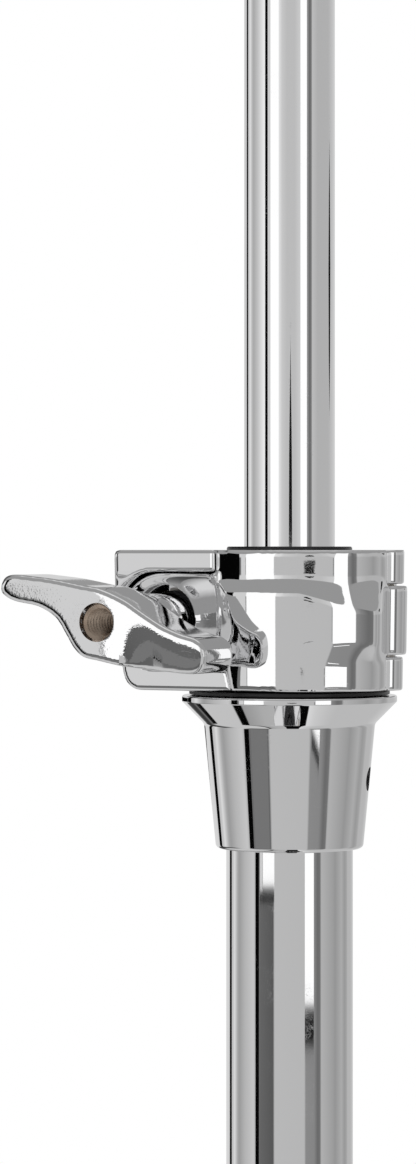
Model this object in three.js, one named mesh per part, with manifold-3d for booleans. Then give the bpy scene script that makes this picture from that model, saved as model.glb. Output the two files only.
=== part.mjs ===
// Straight cymbal stand: a folding double-braced tripod, three telescoping tubes held by two hinged
// clamps, and a ratchet tilter that carries the cymbal seat.
// Millimetres, +Z up, the feet stand on z = 0.

import * as THREE from 'three';
import * as BufferGeometryUtils from 'three/addons/utils/BufferGeometryUtils.js';
import Module from 'manifold-3d';

const wasm = await Module();
wasm.setup();

// Fits
const runGap = 0.3;
const pinGap = 0.2;
const seatGap = 0.15;
const cutOverrun = 5;

// Facets round a full circle
const tubeSides = 32;
const turnedSides = 24;
const boltSides = 12;
const arcSteps = 4;

// Telescoping tubes
const baseTubeOuter = 28.6;
const baseTubeWall = 1.5;
const baseTubeLength = 470;
const middleTubeOuter = 22.2;
const middleTubeWall = 1.2;
const middleTubeLength = 405;
const middleTubeInside = 185;
const topTubeOuter = 15.9;
const topTubeWall = 1.2;
const topTubeLength = 380;
const topTubeInside = 180;
const endCapDepth = 16;
const endCapFlange = 3;

// Flared collar at the head of a carrying tube
const collarFootWall = 1.8;
const collarNeckWall = 3.9;
const collarRimWall = 7.75;
const collarRimEdge = 1.1;
const collarFlareHeight = 5;
const collarNeckHeight = 21.8;
const collarFootFillet = 1.2;
const tubeInset = 2;
const setScrewDrop = 14.6;
const setScrewBore = 4.2;
const setScrewRecess = 0.8;
const setScrewSocket = 2.2;
const setScrewBearing = THREE.MathUtils.degToRad(16);

// Nylon bushing between the tubes
const bushingProud = 0.6;
const bushingFlangeGap = 1;
const bushingFlangeInset = 1.1;
const bushingWall = 2.85;
const bushingSpigotLength = 34;
const bushingSlit = 1.2;

// Hinged clamp
const clampHeight = 24.4;
const clampInnerGap = 0.35;
const clampWall = 7.35;
const clampEdge = 0.6;
const doorSeamX = 6;
const doorFrontWall = 5.75;
const doorArcX = 0.7;
const doorArcY = 2.5;
const doorCheek = 1.8;
const bandHalfHeight = 6.6;
const earLeft = 28;
const earInset = 0.5;
const earBack = 1.5;
const earSlope = 1.8;
const earCorner = 3.2;
const tongueHalfHeight = 8.15;
const tongueBack = 5.3;
const tongueFront = 12;
const tongueRidgeX = 3.6;
const tongueFillet = 9;
const boltOffset = 18;
const bossRadius = 6.2;
const bossBack = 3;
const knuckleRadius = 3;
const doorKnuckleRadius = 3.6;
const doorKnuckleHalf = 6.15;
const hingeX = 17.6;
const hingeY = 2.2;
const hingePinRadius = 1.4;
const socketRadius = 6.2;
const socketFloor = 9.2;
const doorTravel = 1.8;

// Front of the door's raised band from its middle to the hinge, as shares of the door's half ellipse
const bandCurveShares = [
  [[0.012, 1.034], [0.451, 1.034], [0.743, 0.701]],
  [[0.743, 0.701], [0.893, 0.529], [1.026, 0.321]],
  [[1.026, 0.321], [1.045, 0.2], [1, 0.1]],
];

// Clamp bolt, washer and wing nut
const boltRadius = 2.7;
const boltHeadRadius = 4.3;
const boltHeadFace = 0.9;
const boltHeadDepth = 2.6;
const boltEnd = 22;
const washerThickness = 1;
const washerRadius = 5;
const nutBossRadius = 4.7;
const nutHubRadius = 5.3;
const nutFace = 36;
const nutHubFront = 1.2;
const nutBore = 3;
const nutBoreRim = 3.3;
const nutRimDepth = 0.6;
const wingBack = 23.6;
const wingFront = 33.2;
const wingHalfLength = 18.8;
const wingHalfHeight = 5.2;
const wingTurn = THREE.MathUtils.degToRad(12.3);

// Half of the S-shaped wing outline, from the left tip to the right one, as shares of its half sizes
const wingOutlineShares = [
  [-1, 0.22], [-0.97, 0.66], [-0.88, 0.88], [-0.6, 0.97], [-0.32, 1], [-0.1, 0.96], [0.11, 0.88],
  [0.29, 0.62], [0.48, 0.2], [0.7, -0.05], [0.92, -0.12],
];

// Folding tripod
const legCount = 3;
const firstLegBearing = THREE.MathUtils.degToRad(90);
const legAngle = THREE.MathUtils.degToRad(55);
const legLength = 310;
const linkLength = 103;
const pivotRadius = 32;
const legEndHeight = 10.3480506;
const legPivotHeight = legEndHeight + legLength * Math.cos(legAngle);
const bracePivotHeight = legPivotHeight - 2 * linkLength * Math.cos(legAngle);
const braceCollarRise = 25;
const baseTubeBottom = bracePivotHeight - braceCollarRise;
const collarBodyWall = 5.6;
const braceCollarHeight = 26;
const legCollarHeight = 32;
const earRadius = 6.5;
const braceEarHalf = 3;
const legEarHalf = 5.2;
const stripWidth = 13;
const stripThickness = 2;
const stripInner = 5.6;
const braceWidth = 11;
const braceFlange = 1.6;
const braceInner = 3.3;
const braceWebTrim = 15;
const legPinRadius = 2.6;
const pinHeadRadius = 4.2;
const pinHeadHeight = 1.4;
const footLength = 34;
const footHeight = 30;
const footHalfWidth = 11;
const footReachBack = 18;
const stripIntoFoot = 6;

// Side outline of a rubber foot, from the heel, as shares of its length and height
const footOutlineShares = [
  [0, 0.05], [0.05, 0], [0.8, 0], [0.95, 0.06], [1, 0.2], [0.97, 0.42], [0.86, 0.6], [0.62, 0.83],
  [0.36, 1], [0.16, 0.95], [0.02, 0.72], [-0.06, 0.45],
];

// Wing bolts of the leg collar and the tilter
const lockBossRadius = 6.5;
const lockBossLength = 8;
const lockBoltRadius = 2.8;
const lockNeckRadius = 4.6;
const lockNeckLength = 9;
const lockWingHalf = 15;
const lockWingHeight = 4.2;
const lockWingDepth = 8;
const lockBearing = THREE.MathUtils.degToRad(270);

// Ratchet tilter
const tilterStemLength = 40;
const tilterShoulderRadius = 9.5;
const tilterShoulderHeight = 9;
const tilterPivotRise = 24;
const tilterDiscRadius = 13.5;
const tilterDiscThickness = 8;
const tilterDiscEdge = 1.2;
const tilterNeckHalf = 6;
const tilterHeadRise = 24;
const tilterHeadRadius = 7.5;
const tilterHeadHeight = 12;
const tilterBoltHead = 7;
const tilterBoltHeadHeight = 4;

// Cymbal seat
const rodRadius = 4;
const rodSocketDepth = 9;
const rodLength = 92;
const rodTipChamfer = 0.8;
const sleeveWall = 1.9;
const sleeveFlangeRadius = 9;
const sleeveFlangeHeight = 3;
const cupRadius = 19;
const cupThickness = 1.6;
const cupDish = 2.4;
const feltRadius = 18;
const feltThickness = 11;
const feltCrown = 1.2;
const cymbalGap = 2.4;
const topNutBaseRadius = 9;
const topNutBaseHeight = 3;
const topNutHubRadius = 6.8;
const topNutHeight = 17;
const topNutWingHalf = 20;
const topNutWingHeight = 13;
const topNutWingThickness = 4.4;

// Side outline of the right-hand wing of the top nut, as shares of its half length and height
const topWingOutlineShares = [
  [0, 0.05], [0.4, 0.08], [0.75, 0.3], [0.96, 0.62], [1, 0.86], [0.9, 1], [0.72, 0.96], [0.5, 0.7],
  [0.25, 0.55], [0, 0.5],
];

function finish(name, color, metalness, roughness) {
  return new THREE.MeshStandardMaterial({ name, color, metalness, roughness });
}

const chrome = finish('chrome', 0xc9cbce, 1, 0.08);
const zincSteel = finish('zinc_steel', 0xa39a8e, 1, 0.32);
const nylon = finish('black_nylon', 0x16161a, 0, 0.55);
const rubber = finish('black_rubber', 0x1c1c1c, 0, 0.85);
const felt = finish('grey_felt', 0x6f7073, 0, 1);

// Keeps only positions, joins equal corners and drops the flat triangles at a pole.
function weld(geometry) {
  const bare = geometry.clone();
  bare.deleteAttribute('normal');
  bare.deleteAttribute('uv');
  const merged = BufferGeometryUtils.mergeVertices(bare);
  const kept = [];
  const index = merged.index.array;
  for (let i = 0; i < index.length; i += 3) {
    const [a, b, c] = [index[i], index[i + 1], index[i + 2]];
    if (a !== b && b !== c && c !== a) kept.push(a, b, c);
  }
  merged.setIndex(kept);
  return merged;
}

function solidOf(geometry) {
  const merged = weld(geometry);
  return new wasm.Manifold(new wasm.Mesh({
    numProp: 3,
    vertProperties: new Float32Array(merged.attributes.position.array),
    triVerts: new Uint32Array(merged.index.array),
  }));
}

function geometryOf(solid) {
  const mesh = solid.getMesh();
  const geometry = new THREE.BufferGeometry();
  geometry.setAttribute('position', new THREE.BufferAttribute(mesh.vertProperties, 3));
  geometry.setIndex(new THREE.BufferAttribute(mesh.triVerts, 1));
  return geometry;
}

function joined(...geometries) {
  return geometries.map(solidOf).reduce((whole, part) => whole.add(part));
}

function piece(name, material, shape) {
  const geometry = shape.isBufferGeometry ? weld(shape) : geometryOf(shape);
  geometry.computeVertexNormals();
  const mesh = new THREE.Mesh(geometry, material);
  mesh.name = name;
  return mesh;
}

// A closed profile of [radius, height] turned about Z; one that starts on the axis stays open there.
function turned(profile, sides = turnedSides) {
  const points = profile.map(([radius, height]) => new THREE.Vector2(radius, height));
  if (points[0].x > 0) points.push(points[0].clone());
  return new THREE.LatheGeometry(points, sides).rotateX(Math.PI / 2);
}

function rod(radius, bottom, top, sides = boltSides) {
  return turned([[0, bottom], [radius, bottom], [radius, top], [0, top]], sides);
}

function pipe(inner, outer, bottom, top, sides = tubeSides) {
  return turned([[inner, bottom], [outer, bottom], [outer, top], [inner, top]], sides);
}

// Turns a shape that runs up Z so that it runs forward, along -Y.
function facingFront(geometry) {
  return geometry.rotateX(Math.PI / 2);
}

function extruded(points, depth) {
  const shape = new THREE.Shape(points.map(([x, y]) => new THREE.Vector2(x, y)));
  return new THREE.ExtrudeGeometry(shape, { depth, bevelEnabled: false, curveSegments: arcSteps });
}

function block(minX, maxX, minY, maxY, minZ, maxZ) {
  const box = new THREE.BoxGeometry(maxX - minX, maxY - minY, maxZ - minZ);
  return box.translate((minX + maxX) / 2, (minY + maxY) / 2, (minZ + maxZ) / 2);
}

// A bar with round ends, drawn in the XZ plane from x = 0 to its length and centred on y = 0.
function roundBar(length, width, thickness, holes = []) {
  const radius = width / 2;
  const shape = new THREE.Shape();
  shape.absarc(length, 0, radius, -Math.PI / 2, Math.PI / 2);
  shape.absarc(0, 0, radius, Math.PI / 2, Math.PI * 1.5);
  for (const [at, holeRadius] of holes) {
    shape.holes.push(new THREE.Path().absarc(at, 0, holeRadius, 0, Math.PI * 2, true));
  }
  const bar = new THREE.ExtrudeGeometry(shape, {
    depth: thickness, bevelEnabled: false, curveSegments: arcSteps,
  });
  return facingFront(bar).translate(0, thickness / 2, 0);
}

// S-shaped wings seen from the front, from one half outline and its half turn.
function wingOutline(halfLength, halfHeight) {
  const half = wingOutlineShares.map(([x, z]) => [x * halfLength, z * halfHeight]);
  return [...half, ...half.map(([x, z]) => [-x, -z])];
}

function at(object, x, y, z) {
  object.position.set(x, y, z);
  return object;
}

function groupOf(...children) {
  const group = new THREE.Group();
  group.add(...children);
  return group;
}

// Sizes of one tube joint. Heights are measured from the clamp's top face, with up positive.
function jointSizes(carrierOuter, carrierWall, sliderOuter) {
  const bushingOuter = sliderOuter / 2 + pinGap + bushingWall;
  const ringInner = bushingOuter + clampInnerGap;
  const ringOuter = ringInner + clampWall;
  const spread = ringOuter - (topTubeOuter / 2 + pinGap + bushingWall + clampInnerGap + clampWall);
  const rimTop = -clampHeight - bushingFlangeGap;
  const neck = rimTop - collarFlareHeight;
  return {
    carrierRadius: carrierOuter / 2,
    carrierInner: carrierOuter / 2 - carrierWall,
    bushingInner: sliderOuter / 2 + pinGap,
    bushingOuter,
    ringInner,
    ringOuter,
    spread,
    middle: -clampHeight / 2,
    doorFront: ringInner + doorFrontWall,
    doorRight: hingeX + spread + doorCheek,
    earFront: ringInner + doorFrontWall - earInset,
    rimTop,
    neck,
    foot: neck - collarNeckHeight,
    boltX: -(boltOffset + spread),
    hingeX: hingeX + spread,
  };
}

function collarGeometry(s) {
  const bore = s.carrierRadius + runGap;
  const footRadius = s.carrierRadius + collarFootWall;
  const rimRadius = s.carrierRadius + collarRimWall;
  const body = turned([
    [bore, s.foot],
    [footRadius - collarFootFillet / 2, s.foot],
    [footRadius, s.foot + collarFootFillet],
    [s.carrierRadius + collarNeckWall, s.neck],
    [rimRadius, s.rimTop - collarRimEdge],
    [rimRadius, s.rimTop - collarRimEdge / 2],
    [rimRadius - collarRimEdge / 3, s.rimTop],
    [bore, s.rimTop],
  ], tubeSides);
  const hole = rod(setScrewBore / 2, 0, rimRadius + cutOverrun).rotateY(Math.PI / 2);
  hole.rotateZ(setScrewBearing).translate(0, 0, s.rimTop - setScrewDrop);
  return solidOf(body).subtract(solidOf(hole));
}

function setScrewGeometry(s) {
  const neckShare = (setScrewDrop - collarFlareHeight) / collarNeckHeight;
  const skin = s.carrierRadius + collarNeckWall - neckShare * (collarNeckWall - collarFootWall);
  const inner = s.carrierRadius + runGap;
  const outer = skin - setScrewRecess;
  const radius = setScrewBore / 2 - pinGap;
  const socket = rod(setScrewSocket / 2, (inner + outer) / 2, outer + cutOverrun, 6);
  const screw = solidOf(rod(radius, inner, outer)).subtract(solidOf(socket));
  const turn = new THREE.Matrix4().makeRotationZ(setScrewBearing);
  turn.multiply(new THREE.Matrix4().makeRotationY(Math.PI / 2));
  return geometryOf(screw).applyMatrix4(turn).translate(0, 0, s.rimTop - setScrewDrop);
}

function bushingGeometry(s) {
  const flangeBottom = s.rimTop + seatGap;
  const flangeTop = -clampHeight - seatGap;
  const spigot = s.carrierInner - runGap;
  const body = turned([
    [s.bushingInner, s.rimTop - bushingSpigotLength],
    [spigot, s.rimTop - bushingSpigotLength],
    [spigot, flangeBottom],
    [s.ringOuter - bushingFlangeInset, flangeBottom],
    [s.ringOuter - bushingFlangeInset, flangeTop],
    [s.bushingOuter, flangeTop],
    [s.bushingOuter, bushingProud],
    [s.bushingInner, bushingProud],
  ], tubeSides);
  const slit = block(
    -bushingSlit / 2, bushingSlit / 2, 0, s.ringOuter,
    flangeTop, bushingProud + cutOverrun,
  );
  return solidOf(body).subtract(solidOf(slit));
}

function ring(s) {
  return pipe(s.ringInner, s.ringOuter, -clampHeight, 0);
}

// Ear plate of the clamp body, drawn from the front: its free edge slopes in towards the lower corner.
function earPlate(s) {
  const left = -(earLeft + s.spread);
  const corner = earSlope + earCorner;
  const outline = [
    [-doorSeamX - runGap, 0],
    [left + clampEdge, 0],
    [left, -clampEdge],
    [left, s.middle],
    [left + earSlope, -clampHeight + earCorner],
    [left + corner - earCorner * (1 - Math.SQRT1_2), -clampHeight + earCorner * (1 - Math.SQRT1_2)],
    [left + corner, -clampHeight],
    [-doorSeamX - runGap, -clampHeight],
  ];
  return facingFront(extruded(outline, s.earFront - earBack)).translate(0, -earBack, 0);
}

// Space in the XZ plane that the door's tongue fills, with a round end about the bolt.
function tongueSpace(s, gap, back, front) {
  const radius = tongueHalfHeight + gap;
  const shape = new THREE.Shape();
  shape.moveTo(0, -radius);
  shape.lineTo(0, radius);
  shape.absarc(s.boltX, 0, radius, Math.PI / 2, Math.PI * 1.5);
  const space = new THREE.ExtrudeGeometry(shape, {
    depth: front - back, bevelEnabled: false, curveSegments: arcSteps * 2,
  });
  return facingFront(space).translate(0, -back, s.middle);
}

function hingeBore(s) {
  return rod(hingePinRadius + pinGap, -clampHeight - cutOverrun, cutOverrun).translate(s.hingeX, hingeY, 0);
}

function knuckle(s, radius, bottom, top) {
  return rod(radius, bottom, top, turnedSides / 2).translate(s.hingeX, hingeY, 0);
}

function clampBodyGeometry(s) {
  const reach = s.ringOuter + cutOverrun;
  const splitY = hingeY - knuckleRadius;
  const upperKnuckle = s.middle + doorKnuckleHalf + runGap / 2;
  const lowerKnuckle = s.middle - doorKnuckleHalf - runGap / 2;
  const boss = facingFront(rod(bossRadius, -bossBack, tongueBack - runGap)).translate(s.boltX, 0, s.middle);
  const headPocket = facingFront(rod(boltHeadRadius + runGap, -reach, boltHeadFace + runGap));
  const bore = facingFront(rod(boltRadius + runGap, -reach, reach));
  const doorSpace = block(
    -doorSeamX - runGap, reach, -reach, splitY, -clampHeight - cutOverrun, cutOverrun,
  );
  const knuckleSpace = rod(
    doorKnuckleRadius + runGap, lowerKnuckle, upperKnuckle, turnedSides / 2,
  ).translate(s.hingeX, hingeY, 0);
  const hingeSpace = block(
    s.hingeX - doorKnuckleRadius - runGap, reach, -reach, hingeY, lowerKnuckle, upperKnuckle,
  );
  return joined(ring(s), earPlate(s), boss)
    .subtract(joined(doorSpace, hingeSpace))
    .add(joined(
      knuckle(s, knuckleRadius, upperKnuckle, 0),
      knuckle(s, knuckleRadius, -clampHeight, lowerKnuckle),
    ))
    .subtract(joined(knuckleSpace, hingeBore(s)))
    .subtract(solidOf(tongueSpace(s, runGap, tongueBack - runGap, reach)))
    .subtract(solidOf(rod(s.ringInner, -clampHeight - cutOverrun, cutOverrun, tubeSides)))
    .subtract(solidOf(headPocket.translate(s.boltX, 0, s.middle)))
    .subtract(solidOf(bore.translate(s.boltX, 0, s.middle)));
}

// A point given as shares of the quarter ellipse that rounds the door towards its hinge
function doorPoint(s, [xShare, yShare]) {
  return new THREE.Vector2(
    -doorArcX + xShare * (s.doorRight + doorArcX),
    -doorArcY - yShare * (s.doorFront - doorArcY),
  );
}

// Plan of the door: a flat front that a quarter ellipse rounds towards the hinge.
function doorPlan(s, splitY) {
  const arc = Array.from({ length: arcSteps * 2 + 1 }, (_, i) => {
    const turn = (i * Math.PI) / (arcSteps * 4);
    return doorPoint(s, [Math.sin(turn), Math.cos(turn)]).toArray();
  });
  return [[-doorSeamX, -s.doorFront], ...arc, [s.doorRight, splitY], [-doorSeamX, splitY]];
}

// Plan of the raised band: flush with the tongue's ridge at the left, proud of the door at the hinge.
function bandPlan(s, splitY) {
  const front = bandCurveShares.flatMap((curve) => (
    new THREE.QuadraticBezierCurve(...curve.map((shares) => doorPoint(s, shares))).getPoints(arcSteps)
      .slice(0, -1)
      .map((point) => point.toArray())
  ));
  const ridge = [-tongueRidgeX, front[0][1]];
  const right = [[s.doorRight, -doorArcY], [s.doorRight, splitY]];
  return [ridge, ...front, ...right, [-tongueRidgeX, splitY]];
}

// Plan of the tongue: flush with the band at its ridge, then scooped down to the eye's face.
function tonguePlan(s) {
  const far = s.boltX - tongueHalfHeight - cutOverrun;
  const ridgeY = doorPoint(s, bandCurveShares[0][0]).y;
  const scoop = new THREE.QuadraticBezierCurve(
    new THREE.Vector2(-tongueRidgeX, ridgeY),
    new THREE.Vector2(-tongueFillet, -tongueFront),
    new THREE.Vector2(s.boltX + socketRadius / 2, -tongueFront),
  );
  const front = scoop.getPoints(arcSteps).map((point) => [point.x, point.y]);
  return [[-tongueRidgeX, -tongueBack], ...front, [far, -tongueFront], [far, -tongueBack]];
}

function clampDoorGeometry(s) {
  const reach = s.ringOuter + cutOverrun;
  const splitY = hingeY - knuckleRadius - runGap;
  const shell = solidOf(extruded(doorPlan(s, splitY), clampHeight).translate(0, 0, -clampHeight));
  const band = solidOf(extruded(bandPlan(s, splitY), bandHalfHeight * 2)
    .translate(0, 0, s.middle - bandHalfHeight));
  const ear = solidOf(extruded(tonguePlan(s), clampHeight).translate(0, 0, -clampHeight))
    .intersect(solidOf(tongueSpace(s, 0, 0, reach)));
  const lowerKnuckle = s.middle - doorKnuckleHalf + runGap / 2;
  const upperKnuckle = s.middle + doorKnuckleHalf - runGap / 2;
  const hingeRoot = solidOf(block(
    s.hingeX - doorKnuckleRadius, s.doorRight, -doorArcY, hingeY, lowerKnuckle, upperKnuckle,
  ));
  const slotRadius = boltRadius + pinGap * 2;
  const slot = joined(
    rod(slotRadius, 0, reach),
    rod(slotRadius, 0, reach).translate(-doorTravel, 0, 0),
    block(-doorTravel, 0, -slotRadius, slotRadius, 0, reach),
  );
  const socket = rod(socketRadius, socketFloor, reach, turnedSides);
  const turn = new THREE.Matrix4().makeRotationX(Math.PI / 2);
  turn.premultiply(new THREE.Matrix4().makeTranslation(s.boltX, 0, s.middle));
  const cuts = solidOf(geometryOf(slot.add(solidOf(socket))).applyMatrix4(turn));
  return shell
    .add(band)
    .add(ear)
    .add(hingeRoot)
    .add(solidOf(knuckle(s, doorKnuckleRadius, lowerKnuckle, upperKnuckle)))
    .subtract(solidOf(rod(s.ringInner, -clampHeight - cutOverrun, cutOverrun, tubeSides)))
    .subtract(solidOf(hingeBore(s)))
    .subtract(cuts);
}

function clampBoltGeometry() {
  return facingFront(turned([
    [0, boltHeadFace - boltHeadDepth],
    [boltHeadRadius, boltHeadFace - boltHeadDepth],
    [boltHeadRadius, boltHeadFace],
    [boltRadius, boltHeadFace],
    [boltRadius, boltEnd],
    [0, boltEnd],
  ], boltSides));
}

function clampWasherGeometry() {
  const floor = socketFloor + seatGap;
  return facingFront(pipe(
    boltRadius + runGap, washerRadius, floor, floor + washerThickness, turnedSides,
  ));
}

function wingNutGeometry() {
  const seat = socketFloor + seatGap * 2 + washerThickness;
  const hub = turned([
    [0, seat],
    [nutBossRadius, seat],
    [nutBossRadius, wingBack],
    [nutHubRadius, wingBack + nutHubFront],
    [nutHubRadius, nutFace - nutHubFront],
    [nutHubRadius - nutHubFront, nutFace],
    [0, nutFace],
  ]);
  const wings = extruded(wingOutline(wingHalfLength, wingHalfHeight), wingFront - wingBack)
    .translate(0, 0, wingBack)
    .rotateZ(-wingTurn);
  const bore = turned([
    [0, seat - cutOverrun],
    [nutBore, seat - cutOverrun],
    [nutBore, nutFace - nutRimDepth],
    [nutBoreRim, nutFace],
    [nutBoreRim, nutFace + cutOverrun],
    [0, nutFace + cutOverrun],
  ], turnedSides);
  return facingFront(geometryOf(joined(hub, wings).subtract(solidOf(bore))));
}

function hingePinGeometry(s) {
  return rod(hingePinRadius, -clampHeight + clampEdge, -clampEdge).translate(s.hingeX, hingeY, 0);
}

// One tube joint, its origin on the tube axis at the clamp's top face.
function tubeJoint(label, s) {
  const bolt = at(piece(`${label}_clamp_bolt`, zincSteel, clampBoltGeometry()), s.boltX, 0, s.middle);
  const washer = at(piece(`${label}_clamp_washer`, zincSteel, clampWasherGeometry()), s.boltX, 0, s.middle);
  const nut = at(piece(`${label}_wing_nut`, chrome, wingNutGeometry()), s.boltX, 0, s.middle);
  return groupOf(
    piece(`${label}_flared_collar`, chrome, collarGeometry(s)),
    piece(`${label}_set_screw`, zincSteel, setScrewGeometry(s)),
    piece(`${label}_bushing`, nylon, bushingGeometry(s)),
    piece(`${label}_clamp_body`, chrome, clampBodyGeometry(s)),
    piece(`${label}_clamp_door`, chrome, clampDoorGeometry(s)),
    piece(`${label}_hinge_pin`, zincSteel, hingePinGeometry(s)),
    bolt,
    washer,
    nut,
  );
}

// A hub ear in the XZ plane, from the collar body out to its pivot.
function hubEar(innerRadius, halfThickness, pinRadius) {
  const ear = roundBar(pivotRadius - innerRadius, earRadius * 2, halfThickness * 2);
  const hole = facingFront(rod(pinRadius + pinGap, -halfThickness - cutOverrun, halfThickness + cutOverrun));
  return solidOf(ear.translate(innerRadius, 0, 0)).subtract(solidOf(hole.translate(pivotRadius, 0, 0)));
}

function hubGeometry(height, halfThickness, pinRadius) {
  const bore = baseTubeOuter / 2 + runGap;
  const bodyRadius = baseTubeOuter / 2 + collarBodyWall;
  const edge = collarBodyWall / 4;
  const body = turned([
    [bore, -height / 2],
    [bodyRadius - edge, -height / 2],
    [bodyRadius, -height / 2 + edge],
    [bodyRadius, height / 2 - edge],
    [bodyRadius - edge, height / 2],
    [bore, height / 2],
  ], tubeSides);
  const ear = hubEar(bodyRadius - collarBodyWall / 2, halfThickness, pinRadius);
  const hub = legBearings().reduce((whole, bearing) => {
    const turn = new THREE.Matrix4().makeRotationZ(bearing);
    return whole.add(solidOf(geometryOf(ear).applyMatrix4(turn)));
  }, solidOf(body));
  return hub.subtract(solidOf(rod(bore, -height, height, tubeSides)));
}

function legBearings() {
  return Array.from({ length: legCount }, (_, i) => firstLegBearing + (i * Math.PI * 2) / legCount);
}

// The leg collar also has a threaded boss for its lock bolt.
function legCollarGeometry() {
  const bodyRadius = baseTubeOuter / 2 + collarBodyWall;
  const bossStart = bodyRadius - collarBodyWall / 2;
  const boss = rod(lockBossRadius, bossStart, bodyRadius + lockBossLength).rotateY(Math.PI / 2);
  const bore = rod(lockBoltRadius + runGap, 0, bodyRadius + lockBossLength + cutOverrun).rotateY(Math.PI / 2);
  return hubGeometry(legCollarHeight, legEarHalf, legPinRadius)
    .add(solidOf(boss.rotateZ(lockBearing)))
    .subtract(solidOf(bore.rotateZ(lockBearing)));
}

// A bolt that runs along +X to its tip at x = 0, with S-shaped wings on its neck.
function wingBoltGeometry(shankLength, shankRadius) {
  const neckEnd = shankLength + lockNeckLength;
  const bolt = turned([
    [0, 0],
    [shankRadius, 0],
    [shankRadius, shankLength],
    [lockNeckRadius, shankLength],
    [lockNeckRadius, neckEnd],
    [lockNeckRadius - nutHubFront, neckEnd + nutHubFront],
    [0, neckEnd + nutHubFront],
  ], boltSides);
  const wings = extruded(wingOutline(lockWingHalf, lockWingHeight), lockWingDepth)
    .translate(0, 0, neckEnd - lockWingDepth);
  return joined(bolt, wings);
}

function lockBoltGeometry() {
  const tip = baseTubeOuter / 2 + runGap;
  const shankLength = baseTubeOuter / 2 + collarBodyWall + lockBossLength + runGap - tip;
  const bolt = geometryOf(wingBoltGeometry(shankLength, lockBoltRadius));
  return bolt.rotateY(Math.PI / 2).translate(tip, 0, 0).rotateZ(lockBearing);
}

// A leg strip in its own line: x = 0 at the upper pivot, the rivet head of the brace joint outside.
function legStripGeometry(side) {
  const strip = roundBar(legLength - stripWidth / 2 + stripIntoFoot, stripWidth, stripThickness, [
    [0, legPinRadius + pinGap],
  ]);
  const head = facingFront(rod(pinHeadRadius, 0, pinHeadHeight + stripThickness / 2));
  if (side > 0) head.rotateX(Math.PI);
  return geometryOf(joined(strip, head.translate(linkLength, 0, 0)))
    .translate(0, side * (stripInner + stripThickness / 2), 0);
}

// A brace channel in its own line: two flanges and a web that stops short of both pivots.
function braceGeometry() {
  const bore = legPinRadius + pinGap;
  const flanges = [-1, 1].map((side) => roundBar(linkLength, braceWidth, braceFlange, [
    [0, bore], [linkLength, bore],
  ]).translate(0, side * (braceInner + braceFlange / 2), 0));
  const web = block(
    braceWebTrim, linkLength - braceWebTrim,
    -braceInner - braceFlange / 2, braceInner + braceFlange / 2,
    -braceWidth / 2, -braceWidth / 2 + braceFlange,
  );
  return joined(...flanges, web);
}

function pinGeometry(halfLength) {
  return facingFront(rod(legPinRadius, -halfLength, halfLength));
}

function legPinGeometry() {
  const shoulder = stripInner + stripThickness + seatGap;
  return facingFront(turned([
    [0, -shoulder - pinHeadHeight],
    [pinHeadRadius, -shoulder - pinHeadHeight],
    [pinHeadRadius, -shoulder],
    [legPinRadius, -shoulder],
    [legPinRadius, shoulder],
    [pinHeadRadius, shoulder],
    [pinHeadRadius, shoulder + pinHeadHeight],
    [0, shoulder + pinHeadHeight],
  ], boltSides));
}

// A rubber foot with two slots for the strips; its origin is on the floor below the leg's end.
function footGeometry(stripLine) {
  const outline = footOutlineShares.map(([x, z]) => [x * footLength - footReachBack, z * footHeight]);
  const boot = facingFront(extruded(outline, footHalfWidth * 2)).translate(0, footHalfWidth, 0);
  const slots = [-1, 1].map((side) => {
    const slot = roundBar(
      legLength - stripWidth / 2 + stripIntoFoot, stripWidth + runGap * 2, stripThickness + runGap * 2,
    );
    return solidOf(slot.translate(0, side * (stripInner + stripThickness / 2), 0).applyMatrix4(stripLine));
  });
  return solidOf(boot).subtract(slots[0]).subtract(slots[1]);
}

function legGroup(number, bearing) {
  const tilt = Math.PI / 2 - legAngle;
  const endX = pivotRadius + legLength * Math.sin(legAngle);
  const strips = groupOf(
    piece(`leg_${number}_left_strip`, chrome, legStripGeometry(1)),
    piece(`leg_${number}_right_strip`, chrome, legStripGeometry(-1)),
    piece(`leg_${number}_pivot_pin`, zincSteel, legPinGeometry()),
  );
  at(strips, pivotRadius, 0, legPivotHeight).rotation.y = tilt;
  const stripLine = new THREE.Matrix4().makeRotationY(tilt);
  stripLine.setPosition(pivotRadius - endX, 0, legPivotHeight);
  const pinHalf = braceInner + braceFlange + runGap;
  const bracePin = pinGeometry(pinHalf);
  const brace = groupOf(
    piece(`brace_${number}`, chrome, braceGeometry()),
    piece(`brace_${number}_pivot_pin`, zincSteel, bracePin),
    at(piece(`brace_${number}_middle_pin`, zincSteel, bracePin), linkLength, 0, 0),
  );
  at(brace, pivotRadius, 0, bracePivotHeight).rotation.y = -tilt;
  const foot = at(piece(`foot_${number}`, rubber, footGeometry(stripLine)), endX, 0, 0);
  const leg = groupOf(strips, brace, foot);
  leg.rotation.z = bearing;
  return leg;
}

function endCap() {
  const plug = baseTubeOuter / 2 - baseTubeWall - pinGap;
  const flange = baseTubeOuter / 2;
  return turned([
    [0, -endCapFlange - seatGap],
    [flange - endCapFlange / 3, -endCapFlange - seatGap],
    [flange, -endCapFlange * 2 / 3 - seatGap],
    [flange, -seatGap],
    [plug, -seatGap],
    [plug, endCapDepth],
    [0, endCapDepth],
  ], tubeSides);
}

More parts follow.
